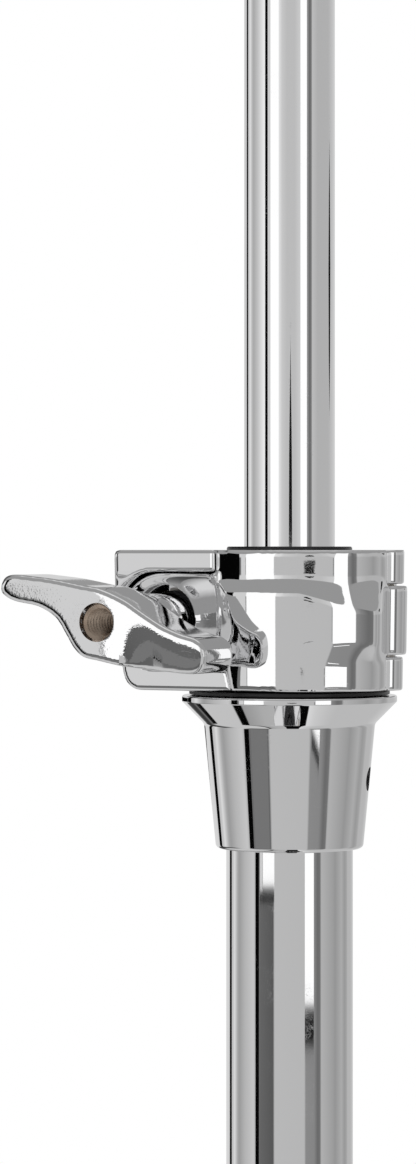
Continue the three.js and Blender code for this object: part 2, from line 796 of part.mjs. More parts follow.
function tripod() {
  const baseInner = baseTubeOuter / 2 - baseTubeWall;
  const baseTube = pipe(baseInner, baseTubeOuter / 2, 0, baseTubeLength);
  return groupOf(
    at(piece('base_tube', chrome, baseTube), 0, 0, baseTubeBottom),
    at(piece('base_tube_end_cap', rubber, endCap()), 0, 0, baseTubeBottom),
    at(piece('brace_collar', chrome, hubGeometry(braceCollarHeight, braceEarHalf, legPinRadius)),
      0, 0, bracePivotHeight),
    at(piece('leg_collar', chrome, legCollarGeometry()), 0, 0, legPivotHeight),
    at(piece('leg_collar_wing_bolt', chrome, lockBoltGeometry()), 0, 0, legPivotHeight),
    ...legBearings().map((bearing, i) => legGroup(i + 1, bearing)),
  );
}

// Half of the ratchet: a disc about Y whose flat inner face lies on the tilter's middle plane.
function tilterDisc(side) {
  const disc = facingFront(turned([
    [lockBoltRadius + runGap, seatGap],
    [tilterDiscRadius, seatGap],
    [tilterDiscRadius, tilterDiscThickness - tilterDiscEdge],
    [tilterDiscRadius - tilterDiscEdge, tilterDiscThickness],
    [lockBoltRadius + runGap, tilterDiscThickness],
  ]));
  return side < 0 ? disc : disc.rotateX(Math.PI);
}

function tilterBaseGeometry() {
  const stem = topTubeOuter / 2 - topTubeWall - runGap;
  const column = turned([
    [0, -tilterStemLength],
    [stem, -tilterStemLength],
    [stem, seatGap],
    [tilterShoulderRadius, seatGap],
    [tilterShoulderRadius, tilterShoulderHeight],
    [0, tilterShoulderHeight],
  ], turnedSides);
  const neck = block(
    -tilterNeckHalf, tilterNeckHalf, -tilterDiscThickness, -seatGap,
    tilterShoulderHeight - tilterDiscEdge, tilterPivotRise,
  );
  const disc = tilterDisc(-1).translate(0, 0, tilterPivotRise);
  const bore = facingFront(rod(lockBoltRadius + runGap, -tilterDiscRadius, tilterDiscRadius));
  return joined(column, neck, disc).subtract(solidOf(bore.translate(0, 0, tilterPivotRise)));
}

// Drawn about the pivot: the disc, its neck and the socket that holds the cymbal rod.
function tilterHeadGeometry() {
  const top = tilterHeadRise;
  const neck = block(-tilterNeckHalf, tilterNeckHalf, seatGap, tilterDiscThickness, 0, top - tilterDiscEdge);
  const socket = turned([
    [0, top - tilterHeadHeight / 2],
    [tilterHeadRadius - tilterDiscEdge, top - tilterHeadHeight / 2],
    [tilterHeadRadius, top - tilterHeadHeight / 2 + tilterDiscEdge],
    [tilterHeadRadius, top + tilterHeadHeight / 2],
    [0, top + tilterHeadHeight / 2],
  ], turnedSides);
  const bore = facingFront(rod(lockBoltRadius + runGap, -tilterDiscRadius, tilterDiscRadius));
  const rodBore = rod(
    rodRadius + pinGap, top + tilterHeadHeight / 2 - rodSocketDepth, top + tilterHeadHeight,
  );
  return joined(tilterDisc(1), neck, socket).subtract(joined(bore, rodBore));
}

function tilter() {
  const boltReach = tilterDiscThickness + seatGap;
  const clampBolt = turned([
    [0, -boltReach - tilterBoltHeadHeight],
    [tilterBoltHead, -boltReach - tilterBoltHeadHeight],
    [tilterBoltHead, -boltReach],
    [lockBoltRadius, -boltReach],
    [lockBoltRadius, boltReach + lockNeckLength / 2],
    [0, boltReach + lockNeckLength / 2],
  ], boltSides);
  const nutHub = turned([
    [lockBoltRadius + pinGap, 0],
    [lockNeckRadius + nutHubFront, 0],
    [lockNeckRadius + nutHubFront, lockNeckLength],
    [lockNeckRadius, lockNeckLength + nutHubFront],
    [lockBoltRadius + pinGap, lockNeckLength + nutHubFront],
  ], boltSides);
  const wings = extruded(wingOutline(lockWingHalf, lockWingHeight), lockWingDepth)
    .translate(0, 0, lockNeckLength - lockWingDepth);
  const nutBoreCut = rod(lockBoltRadius + pinGap, -cutOverrun, lockNeckLength + cutOverrun);
  const nut = facingFront(geometryOf(joined(nutHub, wings).subtract(solidOf(nutBoreCut))));
  return groupOf(
    piece('tilter_base', chrome, tilterBaseGeometry()),
    at(piece('tilter_head', chrome, tilterHeadGeometry()), 0, 0, tilterPivotRise),
    at(piece('tilter_bolt', zincSteel, facingFront(clampBolt)), 0, 0, tilterPivotRise),
    at(piece('tilter_wing_nut', chrome, nut), 0, -boltReach - seatGap, tilterPivotRise),
  );
}

function feltGeometry() {
  const bore = rodRadius + pinGap + sleeveWall + runGap;
  return turned([
    [bore, 0],
    [feltRadius - feltCrown, 0],
    [feltRadius, feltCrown],
    [feltRadius, feltThickness - feltCrown],
    [feltRadius - feltCrown, feltThickness],
    [bore, feltThickness],
  ]);
}

function topNutGeometry() {
  const hub = turned([
    [0, 0],
    [topNutBaseRadius, 0],
    [topNutBaseRadius, topNutBaseHeight],
    [topNutHubRadius, topNutBaseHeight],
    [topNutHubRadius, topNutHeight - tilterDiscEdge],
    [topNutHubRadius - tilterDiscEdge, topNutHeight],
    [0, topNutHeight],
  ]);
  const wing = topWingOutlineShares.map(([x, z]) => [
    x * topNutWingHalf, z * topNutWingHeight + topNutBaseHeight,
  ]);
  const wings = [0, Math.PI].map((turn) => facingFront(extruded(wing, topNutWingThickness))
    .translate(0, topNutWingThickness / 2, 0)
    .rotateZ(turn));
  const bore = rod(rodRadius + pinGap, -cutOverrun, topNutHeight + cutOverrun);
  return joined(hub, ...wings).subtract(solidOf(bore));
}

// The seat stack, its origin on the rod's axis at the tilter head's top face.
function cymbalSeat() {
  const sleeveInner = rodRadius + pinGap;
  const sleeveOuter = sleeveInner + sleeveWall;
  const cupBottom = sleeveFlangeHeight + seatGap * 2;
  const lowerFelt = cupBottom + cupThickness + cupDish + seatGap;
  const upperFelt = lowerFelt + feltThickness + cymbalGap;
  const nutBottom = upperFelt + feltThickness + runGap;
  const sleeve = turned([
    [sleeveInner, seatGap],
    [sleeveFlangeRadius, seatGap],
    [sleeveFlangeRadius, sleeveFlangeHeight + seatGap],
    [sleeveOuter, sleeveFlangeHeight + seatGap],
    [sleeveOuter, nutBottom - runGap],
    [sleeveInner, nutBottom - runGap],
  ]);
  const cupBore = sleeveOuter + pinGap;
  const cup = turned([
    [cupBore, 0],
    [cupBore + (cupRadius - cupBore) / 3, 0],
    [cupRadius, cupDish],
    [cupRadius, cupDish + cupThickness],
    [cupBore, cupDish + cupThickness],
  ]);
  const cymbalRod = turned([
    [0, -rodSocketDepth + runGap],
    [rodRadius, -rodSocketDepth + runGap],
    [rodRadius, rodLength - rodSocketDepth - rodTipChamfer],
    [rodRadius - rodTipChamfer, rodLength - rodSocketDepth],
    [0, rodLength - rodSocketDepth],
  ], boltSides);
  return groupOf(
    piece('cymbal_rod', zincSteel, cymbalRod),
    piece('seat_sleeve', nylon, sleeve),
    at(piece('cup_washer', chrome, cup), 0, 0, cupBottom),
    at(piece('lower_felt', felt, feltGeometry()), 0, 0, lowerFelt),
    at(piece('upper_felt', felt, feltGeometry()), 0, 0, upperFelt),
    at(piece('top_wing_nut', chrome, topNutGeometry()), 0, 0, nutBottom),
  );
}

const lowerSizes = jointSizes(baseTubeOuter, baseTubeWall, middleTubeOuter);
const upperSizes = jointSizes(middleTubeOuter, middleTubeWall, topTubeOuter);

const baseTubeTop = baseTubeBottom + baseTubeLength;
const middleTubeBottom = baseTubeTop - middleTubeInside;
const middleTubeTop = middleTubeBottom + middleTubeLength;
const topTubeBottom = middleTubeTop - topTubeInside;
const topTubeTop = topTubeBottom + topTubeLength;

const middleTube = pipe(middleTubeOuter / 2 - middleTubeWall, middleTubeOuter / 2, 0, middleTubeLength);
const topTube = pipe(topTubeOuter / 2 - topTubeWall, topTubeOuter / 2, 0, topTubeLength);

const stand = groupOf(
  tripod(),
  at(tubeJoint('lower', lowerSizes), 0, 0, baseTubeTop + tubeInset - lowerSizes.rimTop),
  at(piece('middle_tube', chrome, middleTube), 0, 0, middleTubeBottom),
  at(tubeJoint('upper', upperSizes), 0, 0, middleTubeTop + tubeInset - upperSizes.rimTop),
  at(piece('top_tube', chrome, topTube), 0, 0, topTubeBottom),
  at(tilter(), 0, 0, topTubeTop),
  at(cymbalSeat(), 0, 0, topTubeTop + tilterPivotRise + tilterHeadRise + tilterHeadHeight / 2),
);

// The origin is on the floor below the middle of the stand's own box.
const box = new THREE.Box3().setFromObject(stand, true);
at(stand, -(box.min.x + box.max.x) / 2, -(box.min.y + box.max.y) / 2, -box.min.z);

export default groupOf(stand);
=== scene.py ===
"""Dresses the straight cymbal stand: chromed tubes, hinged clamps, wing nuts, tripod, tilter and felts."""
import logging
import math
from collections.abc import Callable, Iterable, Sequence
from dataclasses import dataclass, field
from enum import Enum

import bmesh
import bpy
from mathutils import Matrix, Vector, noise


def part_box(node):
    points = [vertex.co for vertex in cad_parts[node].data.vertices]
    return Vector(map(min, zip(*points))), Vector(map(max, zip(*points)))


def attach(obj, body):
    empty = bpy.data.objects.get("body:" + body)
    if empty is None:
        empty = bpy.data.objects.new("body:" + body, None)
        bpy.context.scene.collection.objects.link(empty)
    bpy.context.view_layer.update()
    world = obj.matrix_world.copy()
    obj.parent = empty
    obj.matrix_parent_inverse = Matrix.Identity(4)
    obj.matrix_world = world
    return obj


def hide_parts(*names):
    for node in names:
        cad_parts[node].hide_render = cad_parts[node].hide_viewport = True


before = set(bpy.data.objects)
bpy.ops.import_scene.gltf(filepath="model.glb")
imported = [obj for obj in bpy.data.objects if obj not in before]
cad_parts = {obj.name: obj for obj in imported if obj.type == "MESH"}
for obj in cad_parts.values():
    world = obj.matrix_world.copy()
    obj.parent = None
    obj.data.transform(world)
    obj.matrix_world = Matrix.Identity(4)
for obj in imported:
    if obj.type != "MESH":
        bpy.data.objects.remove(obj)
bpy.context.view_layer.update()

logging.basicConfig(level=logging.INFO, format="%(message)s")
log = logging.getLogger("cymbal_stand")

MM = 0.001
FULL_TURN = 2 * math.pi
QUARTER_TURN = math.pi / 2
# Distances in millimetres: points that are one, points that a boolean leaves behind, how far a tool runs
# past what it cuts, and half the length of a tool that cuts right through
WELD = 1e-4
STRAY = 0.005
OVERRUN = 5.0
THROUGH = 20.0

Point = tuple[float, float]
Corner = tuple[float, float, float]
Colour = tuple[float, float, float]
Mesh = bmesh.types.BMesh
Socket = bpy.types.NodeSocket


class Slot(Enum):
    """Material slots of the record."""

    CHROME = "chrome"
    ZINC = "zinc_steel"
    NYLON = "nylon"
    RUBBER = "rubber"
    FELT = "felt"


class Operation(Enum):
    """Boolean operations between two solids."""

    JOIN = "UNION"
    CUT = "DIFFERENCE"


JOIN, CUT = Operation.JOIN, Operation.CUT


# Outlines, in millimetres


def clamped(share: float) -> float:
    """Share held between 0 and 1."""
    return min(max(share, 0.0), 1.0)


def interpolated(curve: Sequence[Point], place: float) -> float:
    """Height of a curve of rising places, held at its ends."""
    if place <= curve[0][0]:
        return curve[0][1]
    for (low, first), (high, second) in zip(curve, curve[1:]):
        if place <= high:
            return first + (second - first) * (place - low) / (high - low)
    return curve[-1][1]


def rounded(corners: Sequence[Corner], steps: int = 6) -> list[Point]:
    """Rounds the corners of an outline with arcs.

    Args:
        corners: X, Y and fillet radius of each corner, in order.
        steps: Segments in each arc.

    Returns:
        The outline's points.
    """
    points: list[Point] = []
    for i, (x, y, radius) in enumerate(corners):
        if radius <= 0:
            points.append((x, y))
            continue
        here = Vector((x, y))
        before = Vector(corners[i - 1][:2]) - here
        after = Vector(corners[(i + 1) % len(corners)][:2]) - here
        half_angle = before.angle(after) / 2
        reach = min(radius / math.tan(half_angle), before.length * 0.49, after.length * 0.49)
        arc_radius = reach * math.tan(half_angle)
        middle = (before.normalized() + after.normalized()).normalized()
        centre = here + middle * (arc_radius / math.sin(half_angle))
        start = here + before.normalized() * reach - centre
        sweep = start.angle_signed(here + after.normalized() * reach - centre)
        turns = (-sweep * step / steps for step in range(steps + 1))
        points.extend(tuple(centre + Matrix.Rotation(turn, 2) @ start) for turn in turns)
    return points


def arc_points(centre: Point, radius: float, start: float, end: float, steps: int) -> list[Point]:
    """Points along an arc, both ends included."""
    turns = (start + (end - start) * i / steps for i in range(steps + 1))
    return [(centre[0] + radius * math.cos(t), centre[1] + radius * math.sin(t)) for t in turns]


def bezier_points(start: Point, control: Point, end: Point, steps: int) -> list[Point]:
    """Points along a quadratic curve, both ends included."""
    points = []
    for i in range(steps + 1):
        t = i / steps
        near, mid, far = (1 - t) ** 2, 2 * t * (1 - t), t ** 2
        points.append(tuple(near * a + mid * b + far * c for a, b, c in zip(start, control, end)))
    return points


def smooth_closed(points: Sequence[Point], steps: int) -> list[Point]:
    """Closed Catmull-Rom curve through given points.

    Args:
        points: Points that the curve passes, in order.
        steps: Segments between two of them.

    Returns:
        The curve's points.
    """
    curve: list[Point] = []
    for i in range(len(points)):
        a, b, c, d = (Vector(points[(i + k) % len(points)]) for k in (-1, 0, 1, 2))
        for t in (step / steps for step in range(steps)):
            spot = 0.5 * (2 * b + (c - a) * t + (2 * a - 5 * b + 4 * c - d) * t ** 2
                          + (3 * b - 3 * c + d - a) * t ** 3)
            curve.append(tuple(spot))
    return curve


def smooth_open(points: Sequence[Point], steps: int) -> list[Point]:
    """Open Catmull-Rom curve through given points, both ends included."""
    closed = smooth_closed([points[0], *points, points[-1]], steps)
    return [*closed[steps:steps * len(points)], tuple(points[-1])]


def resampled(points: Sequence[Point], spacing: float) -> list[Point]:
    """Splits the sides of a closed outline so that none is longer than the spacing."""
    result: list[Point] = []
    for start, end in zip(points, [*points[1:], points[0]]):
        a, b = Vector(start), Vector(end)
        count = max(1, math.ceil((b - a).length / spacing))
        result.extend(tuple(a.lerp(b, i / count)) for i in range(count))
    return result


# Solids, in millimetres


def lathe(profile: Sequence[Point], steps: int) -> Mesh:
    """Turns a profile about Z.

    Args:
        profile: Radius and height of each point; it closes on itself unless it starts on the axis.
        steps: Facets round the full turn.

    Returns:
        A closed solid.
    """
    mesh = bmesh.new()
    verts = [mesh.verts.new((radius, 0, height)) for radius, height in profile]
    edges = [mesh.edges.new(pair) for pair in zip(verts, verts[1:])]
    if profile[0][0] > WELD:
        edges.append(mesh.edges.new((verts[-1], verts[0])))
    bmesh.ops.spin(mesh, geom=verts + edges, cent=(0, 0, 0), axis=(0, 0, 1), angle=FULL_TURN, steps=steps,
                   use_merge=True)
    bmesh.ops.remove_doubles(mesh, verts=mesh.verts, dist=WELD)
    bmesh.ops.recalc_face_normals(mesh, faces=mesh.faces)
    return mesh


def spun(corners: Sequence[Corner], steps: int) -> Mesh:
    """Turns a profile with rounded corners about Z."""
    return lathe(rounded(corners), steps)


def rod(radius: float, bottom: float, top: float, edge: float = 0.0, steps: int = 64) -> Mesh:
    """Solid cylinder about Z, with rounded rims where edge is set."""
    profile = [(0, bottom, 0), (radius, bottom, edge), (radius, top, edge), (0, top, 0)]
    return lathe(rounded(profile, 4), steps)


def prism(outline: Sequence[Point], bottom: float, top: float) -> Mesh:
    """Extrudes an XY outline along Z from bottom to top."""
    mesh = bmesh.new()
    face = mesh.faces.new([mesh.verts.new((x, y, bottom)) for x, y in outline])
    grown = bmesh.ops.extrude_face_region(mesh, geom=[face])["geom"]
    lifted = [item for item in grown if isinstance(item, bmesh.types.BMVert)]
    bmesh.ops.translate(mesh, vec=(0, 0, top - bottom), verts=lifted)
    bmesh.ops.recalc_face_normals(mesh, faces=mesh.faces)
    return mesh


def loft(rings: Sequence[tuple[float, Sequence[Point]]]) -> Mesh:
    """Extrudes one XY outline through several heights, taking a new outline at each.

    Args:
        rings: Height and outline of each level, all with as many points.

    Returns:
        A closed solid.
    """
    mesh = bmesh.new()
    height, outline = rings[0]
    verts = [mesh.verts.new((x, y, height)) for x, y in outline]
    cap = mesh.faces.new(verts)
    for step, (height, outline) in enumerate(rings[1:]):
        below = cap
        grown = bmesh.ops.extrude_face_region(mesh, geom=[cap])["geom"]
        cap = next(item for item in grown if isinstance(item, bmesh.types.BMFace))
        if step > 0:
            mesh.faces.remove(below)
        fresh = {tuple(vert.co): vert for vert in cap.verts}
        verts = [fresh[tuple(vert.co)] for vert in verts]
        for vert, (x, y) in zip(verts, outline):
            vert.co = (x, y, height)
    bmesh.ops.recalc_face_normals(mesh, faces=mesh.faces)
    return mesh


def helix_ridge(base: float, crest: float, pitch: float, bottom: float, top: float) -> Mesh:
    """Screw ridge about Z.

    Args:
        base: Radius at the ridge's foot.
        crest: Radius at its crest.
        pitch: Rise of one turn.
        bottom: Height where it starts.
        top: Height where it ends.

    Returns:
        A closed solid.
    """
    steps_per_turn = 32
    mesh = bmesh.new()
    verts = [mesh.verts.new((radius, 0, bottom + pitch * share))
             for radius, share in ((base, 0.2), (crest, 0.5), (base, 0.8))]
    edges = [mesh.edges.new((verts[i], verts[(i + 1) % 3])) for i in range(3)]
    turns = (top - bottom) / pitch - 1
    bmesh.ops.spin(mesh, geom=verts + edges, cent=(0, 0, 0), axis=(0, 0, 1), angle=FULL_TURN * turns,
                   dvec=(0, 0, pitch / steps_per_turn), steps=round(turns * steps_per_turn))
    bmesh.ops.holes_fill(mesh, edges=[edge for edge in mesh.edges if edge.is_boundary], sides=3)
    bmesh.ops.recalc_face_normals(mesh, faces=mesh.faces)
    return mesh


def block(low: Sequence[float], high: Sequence[float]) -> Mesh:
    """Box between two corners."""
    (x0, y0, z0), (x1, y1, z1) = low, high
    return prism([(x0, y0), (x1, y0), (x1, y1), (x0, y1)], z0, z1)


def moved(mesh: Mesh, x: float = 0.0, y: float = 0.0, z: float = 0.0) -> Mesh:
    """Shifts a mesh and gives it back."""
    bmesh.ops.translate(mesh, vec=(x, y, z), verts=mesh.verts)
    return mesh


def turned(mesh: Mesh, angle: float, axis: str) -> Mesh:
    """Turns a mesh about the origin and gives it back."""
    bmesh.ops.rotate(mesh, cent=(0, 0, 0), matrix=Matrix.Rotation(angle, 3, axis), verts=mesh.verts)
    return mesh


def forward(mesh: Mesh) -> Mesh:
    """Turns a mesh that runs up Z so that it runs forward, along -Y."""
    return turned(mesh, QUARTER_TURN, "X")


def crossbar(radius: float, half: float, x: float = 0.0, steps: int = 32) -> Mesh:
    """Cylinder along Y through a point of the X axis."""
    return moved(forward(rod(radius, -half, half, steps=steps)), x)


def soften(mesh: Mesh, offset: float, segments: int, sharper_than: float = 35.0) -> None:
    """Rounds every edge whose faces meet at more than the given angle.

    Args:
        mesh: The solid.
        offset: Width of the rounding.
        segments: Facets across it.
        sharper_than: Least angle, in degrees.
    """
    limit = math.radians(sharper_than)
    sharp = [edge for edge in mesh.edges if len(edge.link_faces) == 2 and edge.calc_face_angle(0) > limit]
    bmesh.ops.bevel(mesh, geom=sharp, offset=offset, affect="EDGES", segments=segments, profile=0.5,
                    material=-1, clamp_overlap=True)


def smoothed(mesh: Mesh, passes: int) -> Mesh:
    """Evens out a mesh in so many passes and gives it back."""
    for _ in range(passes):
        bmesh.ops.smooth_vert(mesh, verts=mesh.verts, factor=0.5, use_axis_x=True, use_axis_y=True,
                              use_axis_z=True)
    return mesh


def as_object(mesh: Mesh, name: str) -> bpy.types.Object:
    """Moves a bmesh into a linked object and frees it."""
    data = bpy.data.meshes.new(name)
    mesh.to_mesh(data)
    mesh.free()
    thing = bpy.data.objects.new(name, data)
    bpy.context.scene.collection.objects.link(thing)
    return thing


def evaluated(thing: bpy.types.Object) -> Mesh:
    """A copy of the object's mesh with its modifiers applied."""
    bpy.context.view_layer.update()
    graph = bpy.context.evaluated_depsgraph_get()
    data = bpy.data.meshes.new_from_object(thing.evaluated_get(graph), depsgraph=graph)
    mesh = bmesh.new()
    mesh.from_mesh(data)
    bpy.data.meshes.remove(data)
    return mesh


def discard(thing: bpy.types.Object) -> None:
    """Removes an object and its mesh."""
    data = thing.data
    bpy.data.objects.remove(thing)
    bpy.data.meshes.remove(data)


def combined(base: Mesh, steps: Iterable[tuple[Operation, Mesh]]) -> Mesh:
    """Joins and cuts solids in order.

    Args:
        base: The first solid.
        steps: Each operation and its solid.

    Returns:
        The result, with its stray points dissolved.
    """
    thing = as_object(base, "base_solid")
    tools = []
    for operation, tool_mesh in steps:
        tool = as_object(tool_mesh, "tool_solid")
        tool.hide_render = True
        tools.append(tool)
        modifier = thing.modifiers.new("combine", "BOOLEAN")
        modifier.solver = "MANIFOLD"
        modifier.operation = operation.value
        modifier.object = tool
    mesh = evaluated(thing)
    for used in (thing, *tools):
        discard(used)
    bmesh.ops.remove_doubles(mesh, verts=mesh.verts, dist=STRAY)
    bmesh.ops.dissolve_degenerate(mesh, edges=mesh.edges, dist=STRAY)
    return mesh


def melted(mesh: Mesh, voxel: float, passes: int) -> Mesh:
    """Remeshes a solid evenly and smooths it, so that its parts flow into each other as in a casting.

    Args:
        mesh: The solid.
        voxel: Size of the even grid.
        passes: Smoothing passes.

    Returns:
        The cast form.
    """
    thing = as_object(mesh, "casting")
    remesh = thing.modifiers.new("even", "REMESH")
    remesh.mode = "VOXEL"
    remesh.voxel_size = voxel
    cast = evaluated(thing)
    discard(thing)
    return smoothed(cast, passes)


def round_bar(start: float, end: float, width: float, thickness: float, hole: float = 0.0) -> Mesh:
    """Flat bar with round ends in the XZ plane, centred on y = 0.

    Args:
        start: Centre of its first round end.
        end: Centre of its second one.
        width: Width across the bar.
        thickness: Thickness along Y.
        hole: Radius of a hole at the origin, or 0 for none.

    Returns:
        A closed solid.
    """
    outline = [*arc_points((end, 0), width / 2, -QUARTER_TURN, QUARTER_TURN, 24),
               *arc_points((start, 0), width / 2, QUARTER_TURN, 3 * QUARTER_TURN, 24)]
    bar = forward(prism(outline, -thickness / 2, thickness / 2))
    return combined(bar, [(CUT, crossbar(hole, thickness))]) if hole else bar


WING_LENGTH = 15.0
WING_HALF_HEIGHT = 4.2
WING_DEPTH = 8.0


def winged(hub: Mesh, seat: float) -> Mesh:
    """Casts a hub about Z and two S-shaped wings on its neck into one.

    Args:
        hub: The hub.
        seat: Height of its foot.

    Returns:
        The cast form.
    """
    half = [(-1, 0.05), (-0.97, 0.62), (-0.86, 0.9), (-0.6, 0.97), (-0.32, 1), (-0.1, 0.96), (0.11, 0.88),
            (0.29, 0.62), (0.48, 0.2), (0.7, -0.05), (0.9, -0.12)]
    outline = [(x * WING_LENGTH, y * WING_HALF_HEIGHT) for x, y in (*half, *((-x, -y) for x, y in half))]
    wings = prism(smooth_closed(outline, 4), seat + 1, seat + 1 + WING_DEPTH)
    return melted(combined(hub, [(JOIN, wings)]), 0.3, 6)


# Materials


class Nodes:
    """Short calls for building a node tree."""

    def __init__(self, tree: bpy.types.NodeTree) -> None:
        """Keeps the tree that nodes go into."""
        self.tree = tree

    def add(self, kind: str, **settings: object) -> bpy.types.Node:
        """Adds a node; settings are its properties, or its inputs where the name starts with in_."""
        node = self.tree.nodes.new(kind)
        for key, value in settings.items():
            if key.startswith("in_"):
                node.inputs[key[3:].replace("_", " ")].default_value = value
            else:
                setattr(node, key, value)
        return node

    def link(self, source: Socket, target: Socket) -> None:
        """Links two sockets."""
        self.tree.links.new(source, target)

    def put(self, value: Socket | Colour | float, target: Socket) -> None:
        """Links a socket to an input, or sets the input to a colour or number."""
        if isinstance(value, Socket):
            self.link(value, target)
        else:
            target.default_value = (*value, 1.0) if isinstance(value, tuple) else value

    def math(self, operation: str, first: Socket | float, second: Socket | float = 0.0) -> Socket:
        """Adds a Math node of two values or sockets and gives its result."""
        node = self.add("ShaderNodeMath", operation=operation)
        for socket, value in zip(node.inputs, (first, second)):
            self.put(value, socket)
        return node.outputs[0]

    def spread(self, value: Socket, low: float, high: float, to_low: float = 0.0,
               to_high: float = 1.0) -> Socket:
        """Maps a value's range onto another one, held at its ends."""
        node = self.add("ShaderNodeMapRange", clamp=True)
        self.link(value, node.inputs["Value"])
        for name, limit in zip(("From Min", "From Max", "To Min", "To Max"), (low, high, to_low, to_high)):
            node.inputs[name].default_value = limit
        return node.outputs["Result"]

    def place(self) -> Socket:
        """Gives the object's own coordinates."""
        return self.add("ShaderNodeTexCoord").outputs["Object"]

    def noise(self, vector: Socket, scale: Socket | float, detail: float = 3.0,
              roughness: float = 0.5) -> Socket:
        """Adds a noise texture and gives its value."""
        node = self.add("ShaderNodeTexNoise", in_Detail=detail, in_Roughness=roughness)
        self.link(vector, node.inputs["Vector"])
        self.put(scale, node.inputs["Scale"])
        return node.outputs["Fac"]

    def stretched(self, vector: Socket, scale: Colour, turn: Colour) -> Socket:
        """Adds a Mapping node that stretches and turns a pattern."""
        node = self.add("ShaderNodeMapping", in_Scale=scale, in_Rotation=turn)
        self.link(vector, node.inputs["Vector"])
        return node.outputs["Vector"]

    def mix(self, share: Socket, first: Socket | Colour, second: Socket | Colour) -> Socket:
        """Goes from the first colour to the second one as the share goes from 0 to 1."""
        node = self.add("ShaderNodeMix", data_type="RGBA")
        for name, value in (("Factor", share), ("A", first), ("B", second)):
            self.put(value, node.inputs[name])
        return node.outputs["Result"]

    def ramp(self, value: Socket, low: float, high: float, stops: Iterable[Point]) -> Socket:
        """Adds a grey ramp over a range of a value.

        Args:
            value: The value.
            low: Where the range starts.
            high: Where it ends.
            stops: Places in the range, rising, and the level at each.

        Returns:
            The level at the value.
        """
        node = self.add("ShaderNodeValToRGB")
        self.link(self.spread(value, low, high), node.inputs["Fac"])
        elements = node.color_ramp.elements
        while len(elements) > 1:
            elements.remove(elements[-1])
        for index, (place, level) in enumerate(stops):
            share = (place - low) / (high - low)
            element = elements[0] if index == 0 else elements.new(share)
            element.position = share
            element.color = (level, level, level, 1.0)
        return node.outputs["Color"]

    def effect(self, tree: bpy.types.NodeTree, **values: float) -> Socket:
        """Places a shared node group with its own input values and gives its result."""
        node = self.add("ShaderNodeGroup", node_tree=tree)
        for label, value in values.items():
            node.inputs[label].default_value = value
        return node.outputs[0]

    def weather(self, shader: bpy.types.Node, cloud: Socket, clean: Colour, worn: Colour, roughness: float,
                rise: float) -> None:
        """Tints and roughens a surface where a cloud of wear lies.

        Args:
            shader: The surface's shader.
            cloud: Share of the wear.
            clean: Colour without it.
            worn: Colour with it.
            roughness: Roughness without it.
            rise: How much rougher the wear is.
        """
        self.link(self.mix(cloud, clean, worn), shader.inputs["Base Color"])
        self.link(self.spread(cloud, 0.0, 1.0, roughness, roughness + rise), shader.inputs["Roughness"])

    def bump(self, height: Socket, distance: float, shader: bpy.types.Node) -> None:
        """Turns a height into the shader's normal."""
        node = self.add("ShaderNodeBump", in_Strength=1.0, in_Distance=distance)
        self.link(height, node.inputs["Height"])
        self.link(node.outputs["Normal"], shader.inputs["Normal"])


Pattern = Callable[[Nodes, Socket, bpy.types.Node], Socket]


class Effects:
    """Shader node groups that several finishes share."""

    def __init__(self) -> None:
        """Builds every group once."""
        scratches = {"Scale": 60.0, "Amount": 0.02}
        self.scratches = self._group("fine_scratches", scratches, "Mask", self._scratches)
        self.cast_skin = self._group("cast_skin", {"Wave": 1.0, "Peel": 1.0}, "Height", self._cast_skin)
        self.smudges = self._group("hand_smudges", {"Scale": 30.0}, "Mask", self._smudges)

    @staticmethod
    def _group(name: str, inputs: dict[str, float], output: str, pattern: Pattern) -> bpy.types.NodeTree:
        """Builds a group with named float sockets round a pattern.

        Args:
            name: The group's name.
            inputs: Its inputs and their usual values.
            output: The name of its output.
            pattern: Draws the pattern from the coordinates and the inputs.

        Returns:
            The group.
        """
        tree = bpy.data.node_groups.new(name, "ShaderNodeTree")
        for label, value in inputs.items():
            socket = tree.interface.new_socket(label, in_out="INPUT", socket_type="NodeSocketFloat")
            socket.default_value = value
        tree.interface.new_socket(output, in_out="OUTPUT", socket_type="NodeSocketFloat")
        nodes = Nodes(tree)
        result = pattern(nodes, nodes.place(), nodes.add("NodeGroupInput"))
        nodes.link(result, nodes.add("NodeGroupOutput").inputs[output])
        return tree

    @staticmethod
    def _scratches(nodes: Nodes, place: Socket, given: bpy.types.Node) -> Socket:
        """Few fine handling scratches: a mask that is 1 on a scratch."""
        masks = []
        for turn, stretch in (((0.5, 0.3, 0.9), (1.0, 0.04, 1.0)), ((-0.7, 0.2, -0.5), (0.05, 1.0, 1.0))):
            fineness = nodes.math("MULTIPLY", given.outputs["Scale"], 22.0)
            lines = nodes.noise(nodes.stretched(place, stretch, turn), fineness, 1.0)
            near = nodes.math("ABSOLUTE", nodes.math("SUBTRACT", lines, 0.5))
            thin = nodes.math("LESS_THAN", near, nodes.math("MULTIPLY", given.outputs["Amount"], 0.25))
            where = nodes.noise(place, nodes.math("MULTIPLY", given.outputs["Scale"], 2.4), 0.0)
            masks.append(nodes.math("MULTIPLY", thin, nodes.spread(where, 0.60, 0.68)))
        return nodes.math("MAXIMUM", *masks)

    @staticmethod
    def _cast_skin(nodes: Nodes, place: Socket, given: bpy.types.Node) -> Socket:
        """Waves and orange peel of plated die casting, as a height of about 0 to 1."""
        wave = nodes.math("MULTIPLY", nodes.noise(place, 160.0, 1.0), given.outputs["Wave"])
        peel = nodes.math("MULTIPLY", nodes.noise(place, 2600.0, 1.0), given.outputs["Peel"])
        return nodes.math("ADD", wave, peel)

    @staticmethod
    def _smudges(nodes: Nodes, place: Socket, given: bpy.types.Node) -> Socket:
        """Soft cloudy patches left by handling: a mask from 0 to 1."""
        return nodes.spread(nodes.noise(place, given.outputs["Scale"], 4.0, 0.6), 0.45, 0.75)


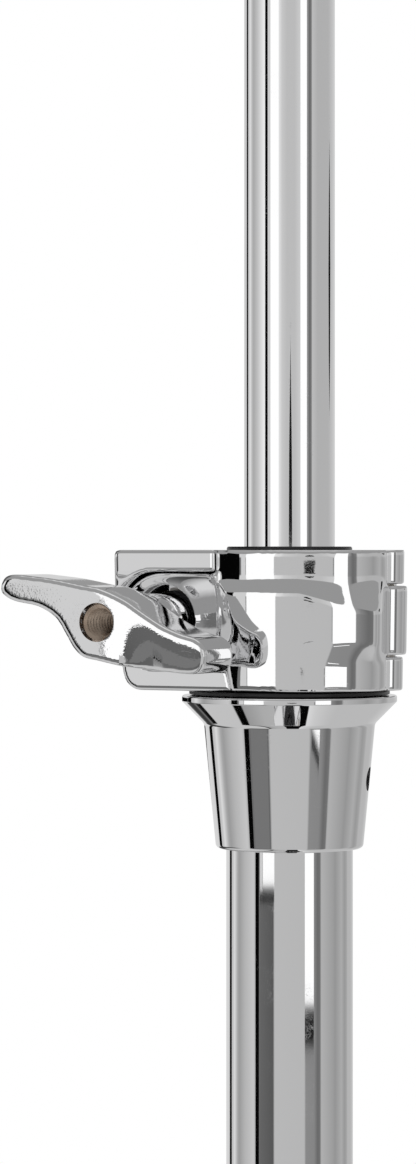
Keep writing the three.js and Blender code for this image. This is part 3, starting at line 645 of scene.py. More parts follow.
@dataclass(frozen=True)
class Finish:
    """Looks of one kind of surface."""

    name: str

    def start(self) -> tuple[bpy.types.Material, Nodes, bpy.types.Node]:
        """Starts the material and gives it with its nodes and its shader."""
        material = bpy.data.materials.new(self.name)
        material.use_nodes = True
        return material, Nodes(material.node_tree), material.node_tree.nodes["Principled BSDF"]


@dataclass(frozen=True)
class PlatedFinish(Finish):
    """Bright plating over drawn tube, turned parts or castings."""

    colour: Colour = (0.93, 0.93, 0.935)
    roughness: float = 0.025
    smudge_roughness: float = 0.05
    scratch_amount: float = 0.008
    wave: float = 0.0
    peel: float = 0.0
    relief: float = 2.0e-6
    smudge_scale: float = 45.0
    scratch_scale: float = 60.0
    scratch_roughness: float = 0.12
    scratch_depth: float = 0.1
    slot: Slot = Slot.CHROME

    def material(self, effects: Effects) -> bpy.types.Material:
        """Builds the material."""
        material, nodes, shader = self.start()
        nodes.put(self.colour, shader.inputs["Base Color"])
        nodes.put(1.0, shader.inputs["Metallic"])
        smudge = nodes.effect(effects.smudges, Scale=self.smudge_scale)
        scratch = nodes.effect(effects.scratches, Scale=self.scratch_scale, Amount=self.scratch_amount)
        soft = nodes.spread(smudge, 0.0, 1.0, self.roughness, self.smudge_roughness)
        rough = nodes.math("MULTIPLY", scratch, self.scratch_roughness)
        nodes.link(nodes.math("ADD", soft, rough), shader.inputs["Roughness"])
        skin = nodes.effect(effects.cast_skin, Wave=self.wave, Peel=self.peel)
        groove = nodes.math("MULTIPLY", scratch, self.scratch_depth)
        nodes.bump(nodes.math("SUBTRACT", skin, groove), self.relief, shader)
        return material


@dataclass(frozen=True)
class SteelFinish(Finish):
    """Zinc-plated or bare steel of fasteners and threads."""

    colour: Colour = (0.60, 0.57, 0.53)
    dark: Colour = (0.34, 0.31, 0.28)
    roughness: float = 0.28
    dark_roughness: float = 0.2
    cloud_scale: float = 220.0
    relief: float = 2.0e-5
    slot: Slot = Slot.ZINC

    def material(self, effects: Effects) -> bpy.types.Material:
        """Builds the material."""
        material, nodes, shader = self.start()
        nodes.put(1.0, shader.inputs["Metallic"])
        cloud = nodes.effect(effects.smudges, Scale=self.cloud_scale)
        nodes.weather(shader, cloud, self.colour, self.dark, self.roughness, self.dark_roughness)
        nodes.bump(nodes.effect(effects.cast_skin, Wave=0.2, Peel=1.0), self.relief, shader)
        return material


@dataclass(frozen=True)
class MouldedFinish(Finish):
    """Moulded nylon or rubber with a fine matt grain."""

    slot: Slot
    colour: Colour
    worn: Colour
    roughness: float
    grain_scale: float
    grain_depth: float
    wear_scale: float = 70.0
    wear_roughness: float = 0.15

    def material(self, effects: Effects) -> bpy.types.Material:
        """Builds the material."""
        material, nodes, shader = self.start()
        wear = nodes.effect(effects.smudges, Scale=self.wear_scale)
        nodes.weather(shader, wear, self.colour, self.worn, self.roughness, self.wear_roughness)
        nodes.bump(nodes.noise(nodes.place(), self.grain_scale), self.grain_depth, shader)
        return material


@dataclass(frozen=True)
class FeltFinish(Finish):
    """Pressed wool felt: mottled grey with short fibres."""

    colour: Colour = (0.115, 0.115, 0.12)
    fleck: Colour = (0.27, 0.27, 0.28)
    roughness: float = 0.95
    sheen: float = 0.35
    sheen_roughness: float = 0.5
    fibre_scale: float = 900.0
    mottle_scale: float = 160.0
    pile_depth: float = 3.0e-4
    slot: Slot = Slot.FELT

    def material(self, effects: Effects) -> bpy.types.Material:
        """Builds the material."""
        material, nodes, shader = self.start()
        place = nodes.place()
        across = nodes.stretched(place, (1.0, 1.0, 4.0), (0.4, 0.2, 0.0))
        fibre = nodes.noise(across, self.fibre_scale, 5.0)
        mottle = nodes.noise(place, self.mottle_scale, 4.0)
        both = nodes.math("ADD", nodes.math("MULTIPLY", fibre, 0.6), nodes.math("MULTIPLY", mottle, 0.4))
        tint = nodes.mix(nodes.spread(both, 0.35, 0.65), self.colour, self.fleck)
        nodes.link(tint, shader.inputs["Base Color"])
        for name, value in (("Roughness", self.roughness), ("Sheen Weight", self.sheen),
                            ("Sheen Roughness", self.sheen_roughness)):
            nodes.put(value, shader.inputs[name])
        pile = nodes.effect(effects.cast_skin, Wave=0.4, Peel=0.6)
        nodes.bump(nodes.math("ADD", nodes.math("MULTIPLY", fibre, 0.7), pile), self.pile_depth, shader)
        return material


@dataclass(frozen=True)
class Coat:
    """A finish's material and its slot in the record."""

    material: bpy.types.Material
    slot: Slot


class Finishes:
    """Every coat of the stand."""

    def __init__(self) -> None:
        """Builds the materials."""
        self.effects = Effects()
        self.tube = self.coat(PlatedFinish("chromed_tube"))
        self.turned = self.coat(PlatedFinish("chromed_collar", scratch_amount=0.012))
        self.cast = self.coat(PlatedFinish("chromed_casting", roughness=0.015, smudge_roughness=0.03,
                                           scratch_amount=0.005, wave=1.5, peel=0.1))
        self.wing = self.coat(PlatedFinish("chromed_wing_nut", roughness=0.02, smudge_roughness=0.04,
                                           wave=4.0, peel=2.2))
        self.strip = self.coat(PlatedFinish("chromed_strip", roughness=0.04, wave=2.0, peel=0.3))
        self.zinc = self.coat(SteelFinish("zinc_plated_steel"))
        self.thread = self.coat(SteelFinish("tapped_thread", (0.62, 0.50, 0.40), (0.40, 0.28, 0.20), 0.32))
        self.black_oxide = self.coat(SteelFinish("blackened_screw", (0.03, 0.03, 0.032),
                                                 (0.015, 0.014, 0.013), 0.45))
        self.nylon = self.coat(MouldedFinish("black_nylon", Slot.NYLON, (0.004, 0.004, 0.0045),
                                             (0.009, 0.009, 0.0095), 0.3, 1400.0, 6.0e-6))
        self.rubber = self.coat(MouldedFinish("black_rubber", Slot.RUBBER, (0.018, 0.018, 0.018),
                                              (0.05, 0.049, 0.047), 0.62, 900.0, 4.0e-5))
        self.felt = self.coat(FeltFinish("grey_felt"))

    def coat(self, finish: PlatedFinish | SteelFinish | MouldedFinish | FeltFinish) -> Coat:
        """Builds a finish's material."""
        return Coat(finish.material(self.effects), finish.slot)


# Placing finished pieces


@dataclass(frozen=True)
class Shading:
    """How a piece's edges shade.

    Attributes:
        smooth_below: Edges flatter than this, in degrees, shade smoothly.
        weighted: Whether large faces keep their own normal up to their rounded edges.
    """

    smooth_below: float = 35.0
    weighted: bool = True


EDGED = Shading()
CAST = Shading(180, False)
WINGED = Shading(60, False)
TOOTHED = Shading(40, False)
MOULDED = Shading(50, False)
PRESSED = Shading(80, False)


@dataclass
class Assembly:
    """A sub-assembly whose pieces are drawn in millimetres about its own origin."""

    finishes: Finishes
    origin: Vector

    def publish(self, mesh: Mesh, name: str, body: str, coat: Coat, shading: Shading = EDGED,
                is_node: bool = True) -> bpy.types.Object:
        """Turns a finished mesh into a piece of the stand.

        Args:
            mesh: The piece, in millimetres about the assembly's origin.
            name: Node that it replaces, or its own name where it replaces none.
            body: Body that it rides on.
            coat: Its material and slot; the slot is not used.
            shading: How its edges shade.
            is_node: Whether it replaces the node of its name.

        Returns:
            The finished object.
        """
        thing = as_object(mesh, f"{name}_finished")
        thing.data.transform(Matrix.Translation(self.origin) @ Matrix.Scale(MM, 4))
        thing.data.polygons.foreach_set("use_smooth", [True] * len(thing.data.polygons))
        thing.data.set_sharp_from_angle(angle=math.radians(shading.smooth_below))
        thing.data.materials.clear()
        thing.data.materials.append(coat.material)
        if shading.weighted:
            even = thing.modifiers.new("even_normals", "WEIGHTED_NORMAL")
            even.mode = "FACE_AREA"
            even.keep_sharp = True
        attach(thing, body)
        if is_node:
            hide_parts(name)
        log.info("%s: %d faces on %s", thing.name, len(thing.data.polygons), body)
        return thing


# Tubes, and the joint of the photograph


@dataclass(frozen=True)
class TubeSize:
    """A tube's node and body, with its outer diameter and wall in millimetres."""

    node: str
    body: str
    outer: float
    wall: float


BASE_TUBE = TubeSize("base_tube", "base", 28.6, 1.5)
MIDDLE_TUBE = TubeSize("middle_tube", "middle", 22.2, 1.2)
TOP_TUBE = TubeSize("top_tube", "top", 15.9, 1.2)


@dataclass
class Tube(Assembly):
    """One telescoping tube; its origin is its lower end on the axis."""

    size: TubeSize
    length: float

    def build(self) -> None:
        """Builds and publishes the tube."""
        outer = self.size.outer / 2
        inner = outer - self.size.wall
        top = self.length
        tube = spun([(inner, 0, 0.4), (outer, 0, 0.6), (outer, top, 0.6), (inner, top, 0.4)], 128)
        self.publish(tube, self.size.node, self.size.body, self.finishes.tube)


# Upper edge of the nut's right wing, from the bolt outwards
WING_TOPS = ((0.0, 5.8), (2.6, 4.9), (5.2, 3.7), (8.0, 1.9), (12.0, -0.5), (15.5, -1.9), (18.0, -2.6))

# Heights on the door with how far right of the ridge's middle the scoop's crest stands there
CREST_SHIFTS = (
    (-20.3, 9.5), (-19.9, 7.0), (-19.2, 4.6), (-18.0, 3.1), (-14.6, 1.7), (-11.6, 0.7), (-8.6, 0.0),
    (-6.5, -0.4), (-5.2, -0.3),
)

# Heights on the door with the place where its band starts to turn towards the seam, and over what width
FLANK_STARTS = ((-24.4, 0.2), (-20.5, 0.2), (-17.5, 0.3), (-13.0, -1.0), (-9.0, -0.8), (-7.0, -0.7))
FLANK_WIDTHS = ((-24.4, 3.4), (-20.5, 3.0), (-17.5, 1.7), (-13.0, 2.1), (-9.0, 2.8), (-7.0, 3.0))
FLANK_TURN = 0.04


@dataclass
class TubeJoint(Assembly):
    """Flared collar, bushing and hinged clamp round a tube; its origin is the clamp's top on the axis."""

    label: str
    carrier: TubeSize
    slider: TubeSize
    height: float = 24.4
    run_gap: float = 0.3
    seat_gap: float = 0.15
    bushing_wall: float = 2.85
    bushing_proud: float = 0.6
    flange_inset: float = 1.1
    spigot_length: float = 34.0
    rim_drop: float = 1.0
    flare_height: float = 5.0
    neck_height: float = 21.8
    foot_step: float = 1.8
    neck_step: float = 3.9
    rim_step: float = 7.75
    screw_drop: float = 14.6
    screw_bearing: float = math.radians(16)
    screw_bore: float = 2.1
    seam_x: float = -6.0
    ear_left: float = 25.8
    ear_back: float = 1.5
    tongue_radius: float = 8.15
    tongue_back: float = 5.3
    ridge_x: float = -3.6
    ridge_front: float = 17.6
    hinge_y: float = 2.2
    knuckle_radius: float = 3.0
    door_knuckle_radius: float = 3.6
    door_knuckle_half: float = 6.15
    hinge_pin_radius: float = 1.4
    bolt_radius: float = 2.7
    socket_radius: float = 6.2
    socket_floor: float = 9.2
    washer_radius: float = 5.1
    washer_thickness: float = 1.0
    nut_boss_radius: float = 4.7
    nut_face: float = 37.6
    wing_back: float = 25.4
    band_top: float = -5.1
    band_bottom: float = -19.6
    scoop_floor: float = 13.0
    draft: float = 0.0007
    cast_grain: float = 0.26

    def __post_init__(self) -> None:
        """Works out the places that follow from the tubes."""
        self.carrier_radius = self.carrier.outer / 2
        self.bushing_inner = self.slider.outer / 2 + 0.2
        self.bushing_outer = self.bushing_inner + self.bushing_wall
        self.ring_inner = self.bushing_outer + 0.35
        self.ring_outer = self.ring_inner + 7.35
        self.reach = self.ring_outer + OVERRUN
        self.spread = self.ring_outer - 18.7
        self.ridge = self.ridge_front + self.spread
        self.door_front = self.ring_inner + 5.75
        self.hinge_x = 17.6 + self.spread
        self.door_right = self.hinge_x + 1.8
        self.bolt_x = -18.0 - self.spread
        self.middle = -self.height / 2
        self.rim_top = -self.height - self.rim_drop
        self.neck = self.rim_top - self.flare_height
        self.foot = self.neck - self.neck_height
        self.crest = smooth_open(CREST_SHIFTS, 6)

    def build(self) -> None:
        """Builds and publishes every piece of the joint."""
        coats = self.finishes
        clamp, door, nut, washer = (f"{self.label}_{part}" for part in ("clamp", "door", "nut", "washer"))
        for mesh, part, body, coat, shading in (
            (self.collar(), "flared_collar", self.carrier.body, coats.turned, EDGED),
            (self.set_screw(), "set_screw", self.carrier.body, coats.black_oxide, EDGED),
            (self.bushing(), "bushing", self.carrier.body, coats.nylon, EDGED),
            (self.clamp_body(), "clamp_body", clamp, coats.cast, CAST),
            (self.clamp_door(), "clamp_door", door, coats.cast, CAST),
            (self.hinge_pin(), "hinge_pin", clamp, coats.zinc, EDGED),
            (self.bolt(), "clamp_bolt", clamp, coats.zinc, EDGED),
            (self.washer(), "clamp_washer", washer, coats.black_oxide, EDGED),
            (self.wing_nut(), "wing_nut", nut, coats.wing, WINGED),
        ):
            self.publish(mesh, f"{self.label}_{part}", body, coat, shading)
        self.publish(self.nut_thread(), f"{self.label}_nut_thread", nut, coats.thread, is_node=False)

    def on_screw(self, mesh: Mesh) -> Mesh:
        """Lays a part that runs up Z on the set screw's axis."""
        mesh = turned(turned(mesh, QUARTER_TURN, "Y"), self.screw_bearing, "Z")
        return moved(mesh, z=self.rim_top - self.screw_drop)

    def on_bolt(self, mesh: Mesh) -> Mesh:
        """Lays a part that runs up Z on the clamp bolt's axis."""
        return moved(forward(mesh), self.bolt_x, 0, self.middle)

    def collar(self) -> Mesh:
        """Turned collar: conical neck, 45 degree flare and a thin upright rim, with the set screw's hole."""
        radius, rim = self.carrier_radius, self.carrier_radius + self.rim_step
        shape = spun([
            (radius + self.run_gap, self.foot, 0),
            (radius + self.foot_step, self.foot, 1.2),
            (radius + self.neck_step, self.neck, 1.2),
            (rim, self.rim_top - 1.1, 0.25),
            (rim, self.rim_top, 0.35),
            (radius + self.run_gap, self.rim_top, 0),
        ], 128)
        return combined(shape, [(CUT, self.on_screw(rod(self.screw_bore, 0, self.reach, steps=40)))])

    def set_screw(self) -> Mesh:
        """Grub screw with a hexagon socket, sunk in the collar."""
        share = (self.screw_drop - self.flare_height) / self.neck_height
        inner = self.carrier_radius + self.run_gap
        outer = self.carrier_radius + self.neck_step - share * (self.neck_step - self.foot_step) - 0.8
        middle = (inner + outer) / 2
        socket = lathe([(0, middle), (1.1, middle), (1.1, outer + 1), (0, outer + 1)], 6)
        return self.on_screw(combined(rod(self.screw_bore - 0.2, inner, outer, 0.3, 32), [(CUT, socket)]))

    def bushing(self) -> Mesh:
        """Split nylon bushing, its flange between collar and clamp and its rim just above the clamp."""
        foot = self.rim_top - self.spigot_length
        bottom, top = self.rim_top + self.seat_gap, -self.height - self.seat_gap
        spigot = self.carrier_radius - self.carrier.wall - self.run_gap
        flange = self.ring_outer - self.flange_inset
        shape = spun([
            (self.bushing_inner, foot, 0.3), (spigot, foot, 0.6), (spigot, bottom, 0), (flange, bottom, 0.2),
            (flange, top, 0.2), (self.bushing_outer, top, 0), (self.bushing_outer, self.bushing_proud, 0.35),
            (self.bushing_inner, self.bushing_proud, 0.35),
        ], 96)
        slit = block((-0.6, 0, top), (0.6, self.ring_outer, self.bushing_proud + OVERRUN))
        return combined(shape, [(CUT, slit)])

    def ring_bore(self) -> Mesh:
        """Space that the clamp leaves for the bushing."""
        return rod(self.ring_inner, -self.height - OVERRUN, OVERRUN, steps=96)

    def hinge_rod(self, radius: float, bottom: float, top: float) -> Mesh:
        """Upright cylinder on the hinge axis."""
        return moved(rod(radius, bottom, top, steps=40), self.hinge_x, self.hinge_y)

    def bolt_rod(self, radius: float, back: float, front: float) -> Mesh:
        """Cylinder on the bolt's axis, from one depth to another in front of the tube axis."""
        return self.on_bolt(rod(radius, back, front, steps=48))

    def tongue_space(self, gap: float, back: float, front: float) -> Mesh:
        """Space of the door's tongue: a bar with a round end about the bolt.

        Args:
            gap: Clearance round the tongue.
            back: Depth of its rear face in front of the tube axis.
            front: Depth of its front face.

        Returns:
            A closed solid.
        """
        radius = self.tongue_radius + gap
        eye = arc_points((self.bolt_x, self.middle), radius, QUARTER_TURN, 3 * QUARTER_TURN, 32)
        return forward(prism([(2.0, self.middle + radius), *eye, (2.0, self.middle - radius)], back, front))

    def ear_outline(self) -> list[Point]:
        """Front outline of the ear plate: its free edge slopes in, its seam edge leans out at the foot."""
        left = -(self.ear_left + self.spread)
        seam = self.seam_x - self.run_gap
        return rounded([
            (seam, 0.0, 0), (left, 0.0, 0.9), (left, self.middle - 3, 4.0), (left + 1.9, -self.height, 3.4),
            (seam + 3.1, -self.height, 0), (seam + 1.9, self.middle - 7, 0), (seam, self.middle - 7, 0),
        ])

    def clamp_body(self) -> Mesh:
        """Rear half of the clamp: half ring, ear plate, bolt boss and two hinge knuckles."""
        reach, seam, front = self.reach, self.seam_x - self.run_gap, self.door_front - 0.5
        low, high = -self.height - OVERRUN, OVERRUN
        split = self.hinge_y - self.knuckle_radius
        half = self.door_knuckle_half + self.run_gap / 2
        lower, upper = self.middle - half, self.middle + half
        inner, outer = self.ring_inner - 1, self.ring_outer
        ring = lathe([(inner, -self.height), (outer, -self.height), (outer, 0), (inner, 0)], 128)
        rear_ring = combined(ring, [
            (CUT, prism([(seam, split), (seam, -reach), (reach, -reach), (reach, split)], low, high)),
            (CUT, block((-reach, -reach, low), (seam, -front, high))),
        ])
        hinge_left = self.hinge_x - self.door_knuckle_radius - self.run_gap
        return self.drafted(melted(combined(rear_ring, [
            (JOIN, forward(prism(self.ear_outline(), -self.ear_back, front))),
            (JOIN, self.bolt_rod(6.2, -3, self.tongue_back - self.run_gap)),
            (CUT, block((hinge_left, -reach, lower), (reach, self.hinge_y, upper))),
            (JOIN, self.hinge_rod(self.knuckle_radius, upper, 0)),
            (JOIN, self.hinge_rod(self.knuckle_radius, -self.height, lower)),
            (CUT, self.hinge_rod(self.door_knuckle_radius + self.run_gap, lower, upper)),
            (CUT, self.hinge_rod(self.hinge_pin_radius + 0.2, low, high)),
            (CUT, self.tongue_space(self.run_gap, self.tongue_back - self.run_gap, reach)),
            (CUT, self.ring_bore()),
            (CUT, self.bolt_rod(4.6, -reach, 1.2)),
            (CUT, self.bolt_rod(self.bolt_radius + self.run_gap, -reach, reach)),
        ]), self.cast_grain, 3))

    def raised_share(self, height: float, along: float) -> float:
        """How far the door's band stands out: 0 for the plain door, 1 for the full band.

        Args:
            height: Height on the door.
            along: Place along its curve, 0 where it begins and 1 at the hinge.

        Returns:
            The share.
        """
        right = clamped((along - 0.3) / 0.3)
        top = clamped((self.band_top - height) / (2.1 + 3.3 * right))
        foot = clamped((height - self.band_bottom) / 3.4)
        return min(top, 1 - right * (1 - foot))

    def flank(self, x: float, height: float) -> float:
        """How far the band falls back from its ridge, where it turns towards the seam."""
        start, width = interpolated(FLANK_STARTS, height), interpolated(FLANK_WIDTHS, height)
        return FLANK_TURN / width * max(0.0, start - x) ** 2

    def door_plan(self, height: float, split: float) -> list[Point]:
        """Plan of the door at one height.

        Args:
            height: Height on the door.
            split: Depth of the door's rear edge.

        Returns:
            The outline, with as many points at every height.
        """
        wide, ridge, right = self.spread, self.ridge, self.door_right
        flat = [(self.seam_x + i * 0.75, -self.door_front + 0.07 * max(0.0, 5 - i * 0.75)) for i in range(8)]
        centre = (-0.7, -2.5)
        half = (right - centre[0], self.door_front + centre[1])
        arc = [(centre[0] + half[0] * math.sin(t), centre[1] - half[1] * math.cos(t))
               for t in (QUARTER_TURN * i / 96 for i in range(1, 97))]
        start, shoulder, side = (-0.45, -ridge), (14.38 + wide, -12.9 - wide * 0.7), (19.85 + wide, -7.0)
        band_flat = [(self.seam_x + (start[0] - self.seam_x) * i / 7, -ridge) for i in range(8)]
        first = bezier_points(start, (8.36 + wide * 0.6, -ridge), shoulder, 45)
        second = bezier_points(shoulder, (17.3 + wide, -10.4 - wide * 0.3), side, 36)
        last = bezier_points(side, (20.3 + wide, -5.2), (right, -2.5), 15)
        blend = []
        band = (*band_flat, *first[1:], *second[1:], *last[1:])
        for i, ((a, b), (c, d)) in enumerate(zip((*flat, *arc), band)):
            raised = self.raised_share(height, clamped((i - 7) / 96))
            blend.append((a + (c - a) * raised, b + (d + self.flank(c, height) - b) * raised))
        return [*blend, (right, split), (self.seam_x, split)]

    def front_depth(self, x: float, z: float) -> float:
        """Depth of the door's left part before the scoop is pressed in.

        Args:
            x: Place across the door.
            z: Height on the door.

        Returns:
            The depth in front of the tube axis.
        """
        if x < self.seam_x:
            return self.ridge
        plain = self.door_front - 0.07 * max(0.0, 5 - (x - self.seam_x))
        return plain + (self.ridge - self.flank(x, z) - plain) * self.raised_share(z, 0.0)

    def scoop_depth(self, x: float, z: float) -> float:
        """Depth of the hollow round the nut's socket, which falls from the ridge and rises round the socket.

        Args:
            x: Place across the door.
            z: Height on the door.

        Returns:
            The depth in front of the tube axis.
        """
        crest = self.ridge_x + interpolated(self.crest, z)
        floor = self.scoop_floor + self.spread * 0.5
        along = clamped((crest - x) / (crest - self.bolt_x - 3.1))
        slope = self.ridge - (self.ridge - floor) * (1 - (1 - along) ** 2)
        from_socket = math.hypot(x - self.bolt_x, z - self.middle) - self.socket_radius
        round_socket = floor + max(0.0, from_socket) * 0.5
        front = self.front_depth(x, z)
        depth = min(front, (slope + round_socket + math.sqrt((slope - round_socket) ** 2 + 0.2)) / 2 - 0.2)
        below_flat = clamped((-4.6 - z) / 1.2) * clamped((z + 20.5) / 0.9)
        beside_seam = clamped((x - self.seam_x + 1.5) / 1.5)
        return depth + (front - depth) * beside_seam * (1 - below_flat)

    def scooped(self, mesh: Mesh) -> Mesh:
        """Presses the hollow round the nut's socket into the front of the tongue."""
        for vert in mesh.verts:
            x, y, z = vert.co
            base = max(10.0, math.sqrt(max(0.0, self.ring_inner ** 2 - x * x)) + 0.6)
            if y < -base and x < self.ridge_x + interpolated(self.crest, z):
                share = clamped((self.scoop_depth(x, z) - base) / (self.front_depth(x, z) - base))
                vert.co.y = -base + (y + base) * share
        return smoothed(mesh, 3)

    def clamp_door(self) -> Mesh:
        """Front half of the clamp: raised band, scooped tongue with the nut's socket, hinge knuckle."""
        reach, seam = self.reach, self.seam_x
        split = self.hinge_y - self.knuckle_radius - self.run_gap
        levels = [-self.height, *(-21.0 + 0.2 * i for i in range(81)), 0.0]
        shell = loft([(height, self.door_plan(height, split)) for height in levels])
        leaning = forward(prism([
            (seam - 1, -self.height - 1), (seam + 3.1, -self.height - 1), (seam + 3.1, -self.height),
            (seam + 1.9, self.middle - 7), (seam - 1, self.middle - 7),
        ], 0, reach))
        lower, upper = (self.middle + side * (self.door_knuckle_half - self.run_gap / 2) for side in (-1, 1))
        tongue = combined(self.tongue_space(0, self.tongue_back, self.ridge),
                          [(CUT, block((seam + 0.1, -reach * 2, -reach * 2), (reach, reach, reach)))])
        bolt_slot = [(CUT, moved(self.bolt_rod(self.bolt_radius + 0.4, 0, reach), x)) for x in (0, -1.8)]
        knuckle_left = self.hinge_x - self.door_knuckle_radius
        cast = melted(combined(shell, [
            (CUT, leaning),
            (JOIN, tongue),
            (JOIN, block((knuckle_left, -2.5, lower), (self.door_right, self.hinge_y, upper))),
            (JOIN, self.hinge_rod(self.door_knuckle_radius, lower, upper)),
            (CUT, self.ring_bore()),
            (CUT, self.hinge_rod(self.hinge_pin_radius + 0.2, -self.height - OVERRUN, OVERRUN)),
            *bolt_slot,
        ]), self.cast_grain, 7)
        nut_socket = self.bolt_rod(self.socket_radius, self.socket_floor, reach)
        return self.drafted(combined(self.scooped(cast), [(CUT, nut_socket)]))

    def drafted(self, mesh: Mesh) -> Mesh:
        """Gives a casting its mould's draft: a touch narrower towards its foot."""
        for vert in mesh.verts:
            share = 1 + self.draft * (vert.co.z - self.middle)
            vert.co.x *= share
            vert.co.y *= share
        return mesh

    def hinge_pin(self) -> Mesh:
        """Hinge pin, a little shorter than the clamp is high."""
        return self.hinge_rod(self.hinge_pin_radius, -self.height + 0.6, -0.6)

    def bolt(self) -> Mesh:
        """Carriage bolt, its head in the boss at the back."""
        shank = self.bolt_radius
        return self.on_bolt(spun([(0, -1.7, 0), (4.3, -1.7, 1.2), (4.3, 0.9, 0.2), (shank, 0.9, 0),
                                  (shank, 22, 0.5), (0, 22, 0)], 48))

    def washer(self) -> Mesh:
        """Flat washer in the socket."""
        back = self.socket_floor + self.seat_gap
        front = back + self.washer_thickness
        inner, outer = self.bolt_radius + 0.3, self.washer_radius
        return self.on_bolt(spun([(inner, back, 0.1), (outer, back, 0.3), (outer, front, 0.3),
                                  (inner, front, 0.1)], 64))

    def wing_outline(self) -> list[Point]:
        """S-shaped wings seen from the front, as they stand in the photograph."""
        return smooth_closed([
            (-18.7, 5.0), (-18.4, 7.0), (-16.8, 8.0), (-12.5, 7.7), (-8.2, 7.2), (-2.7, 6.2), *WING_TOPS,
            (19.5, -4.1), (19.5, -7.0), (17.6, -8.5), (12.8, -8.3), (5.2, -7.5), (0.0, -6.5), (-2.8, -5.9),
            (-4.6, -4.4), (-6.1, -2.1), (-8.1, 0.7), (-11.5, 2.6), (-16.2, 3.5),
        ], 5)

    def wing_nut(self) -> Mesh:
        """Cast wing nut whose wings flow into the hub, with a bored and chamfered face."""
        seat = self.socket_floor + self.seat_gap * 2 + self.washer_thickness
        boss_top = self.wing_back + 2
        boss = spun([(0, seat, 0), (self.nut_boss_radius, seat, 0.4), (self.nut_boss_radius, boss_top, 0),
                     (0, boss_top, 0)], 64)
        wings = prism(self.wing_outline(), self.wing_back, self.nut_face)
        cast = melted(combined(boss, [(JOIN, wings)]), 0.24, 14)
        for vert in cast.verts:
            x, y, z = vert.co
            share = clamped((z - self.wing_back) / (self.nut_face - self.wing_back))
            crown = 0.012 * clamped((x - 4) / 6) * max(0.0, interpolated(WING_TOPS, x) - y) ** 2
            turn = 0.0045 * min(max(0.0, x + 3), 7.0) ** 2 + 0.063 * max(0.0, x - 4)
            vert.co.z -= share * (crown + turn + 0.004 * x)
        bottom, top = seat - OVERRUN, self.nut_face + OVERRUN
        bore = lathe([(0, bottom), (3.0, bottom), (3.0, self.nut_face - 0.5), (3.3, self.nut_face - 0.1),
                      (3.3, top), (0, top)], 64)
        return self.on_bolt(combined(cast, [(CUT, bore)]))

    def nut_thread(self) -> Mesh:
        """Ridge of the M6 thread inside the wing nut."""
        return self.on_bolt(helix_ridge(3.03, 2.42, 1.0, 22.4, self.nut_face - 0.4))


# Tripod, tilter and seat


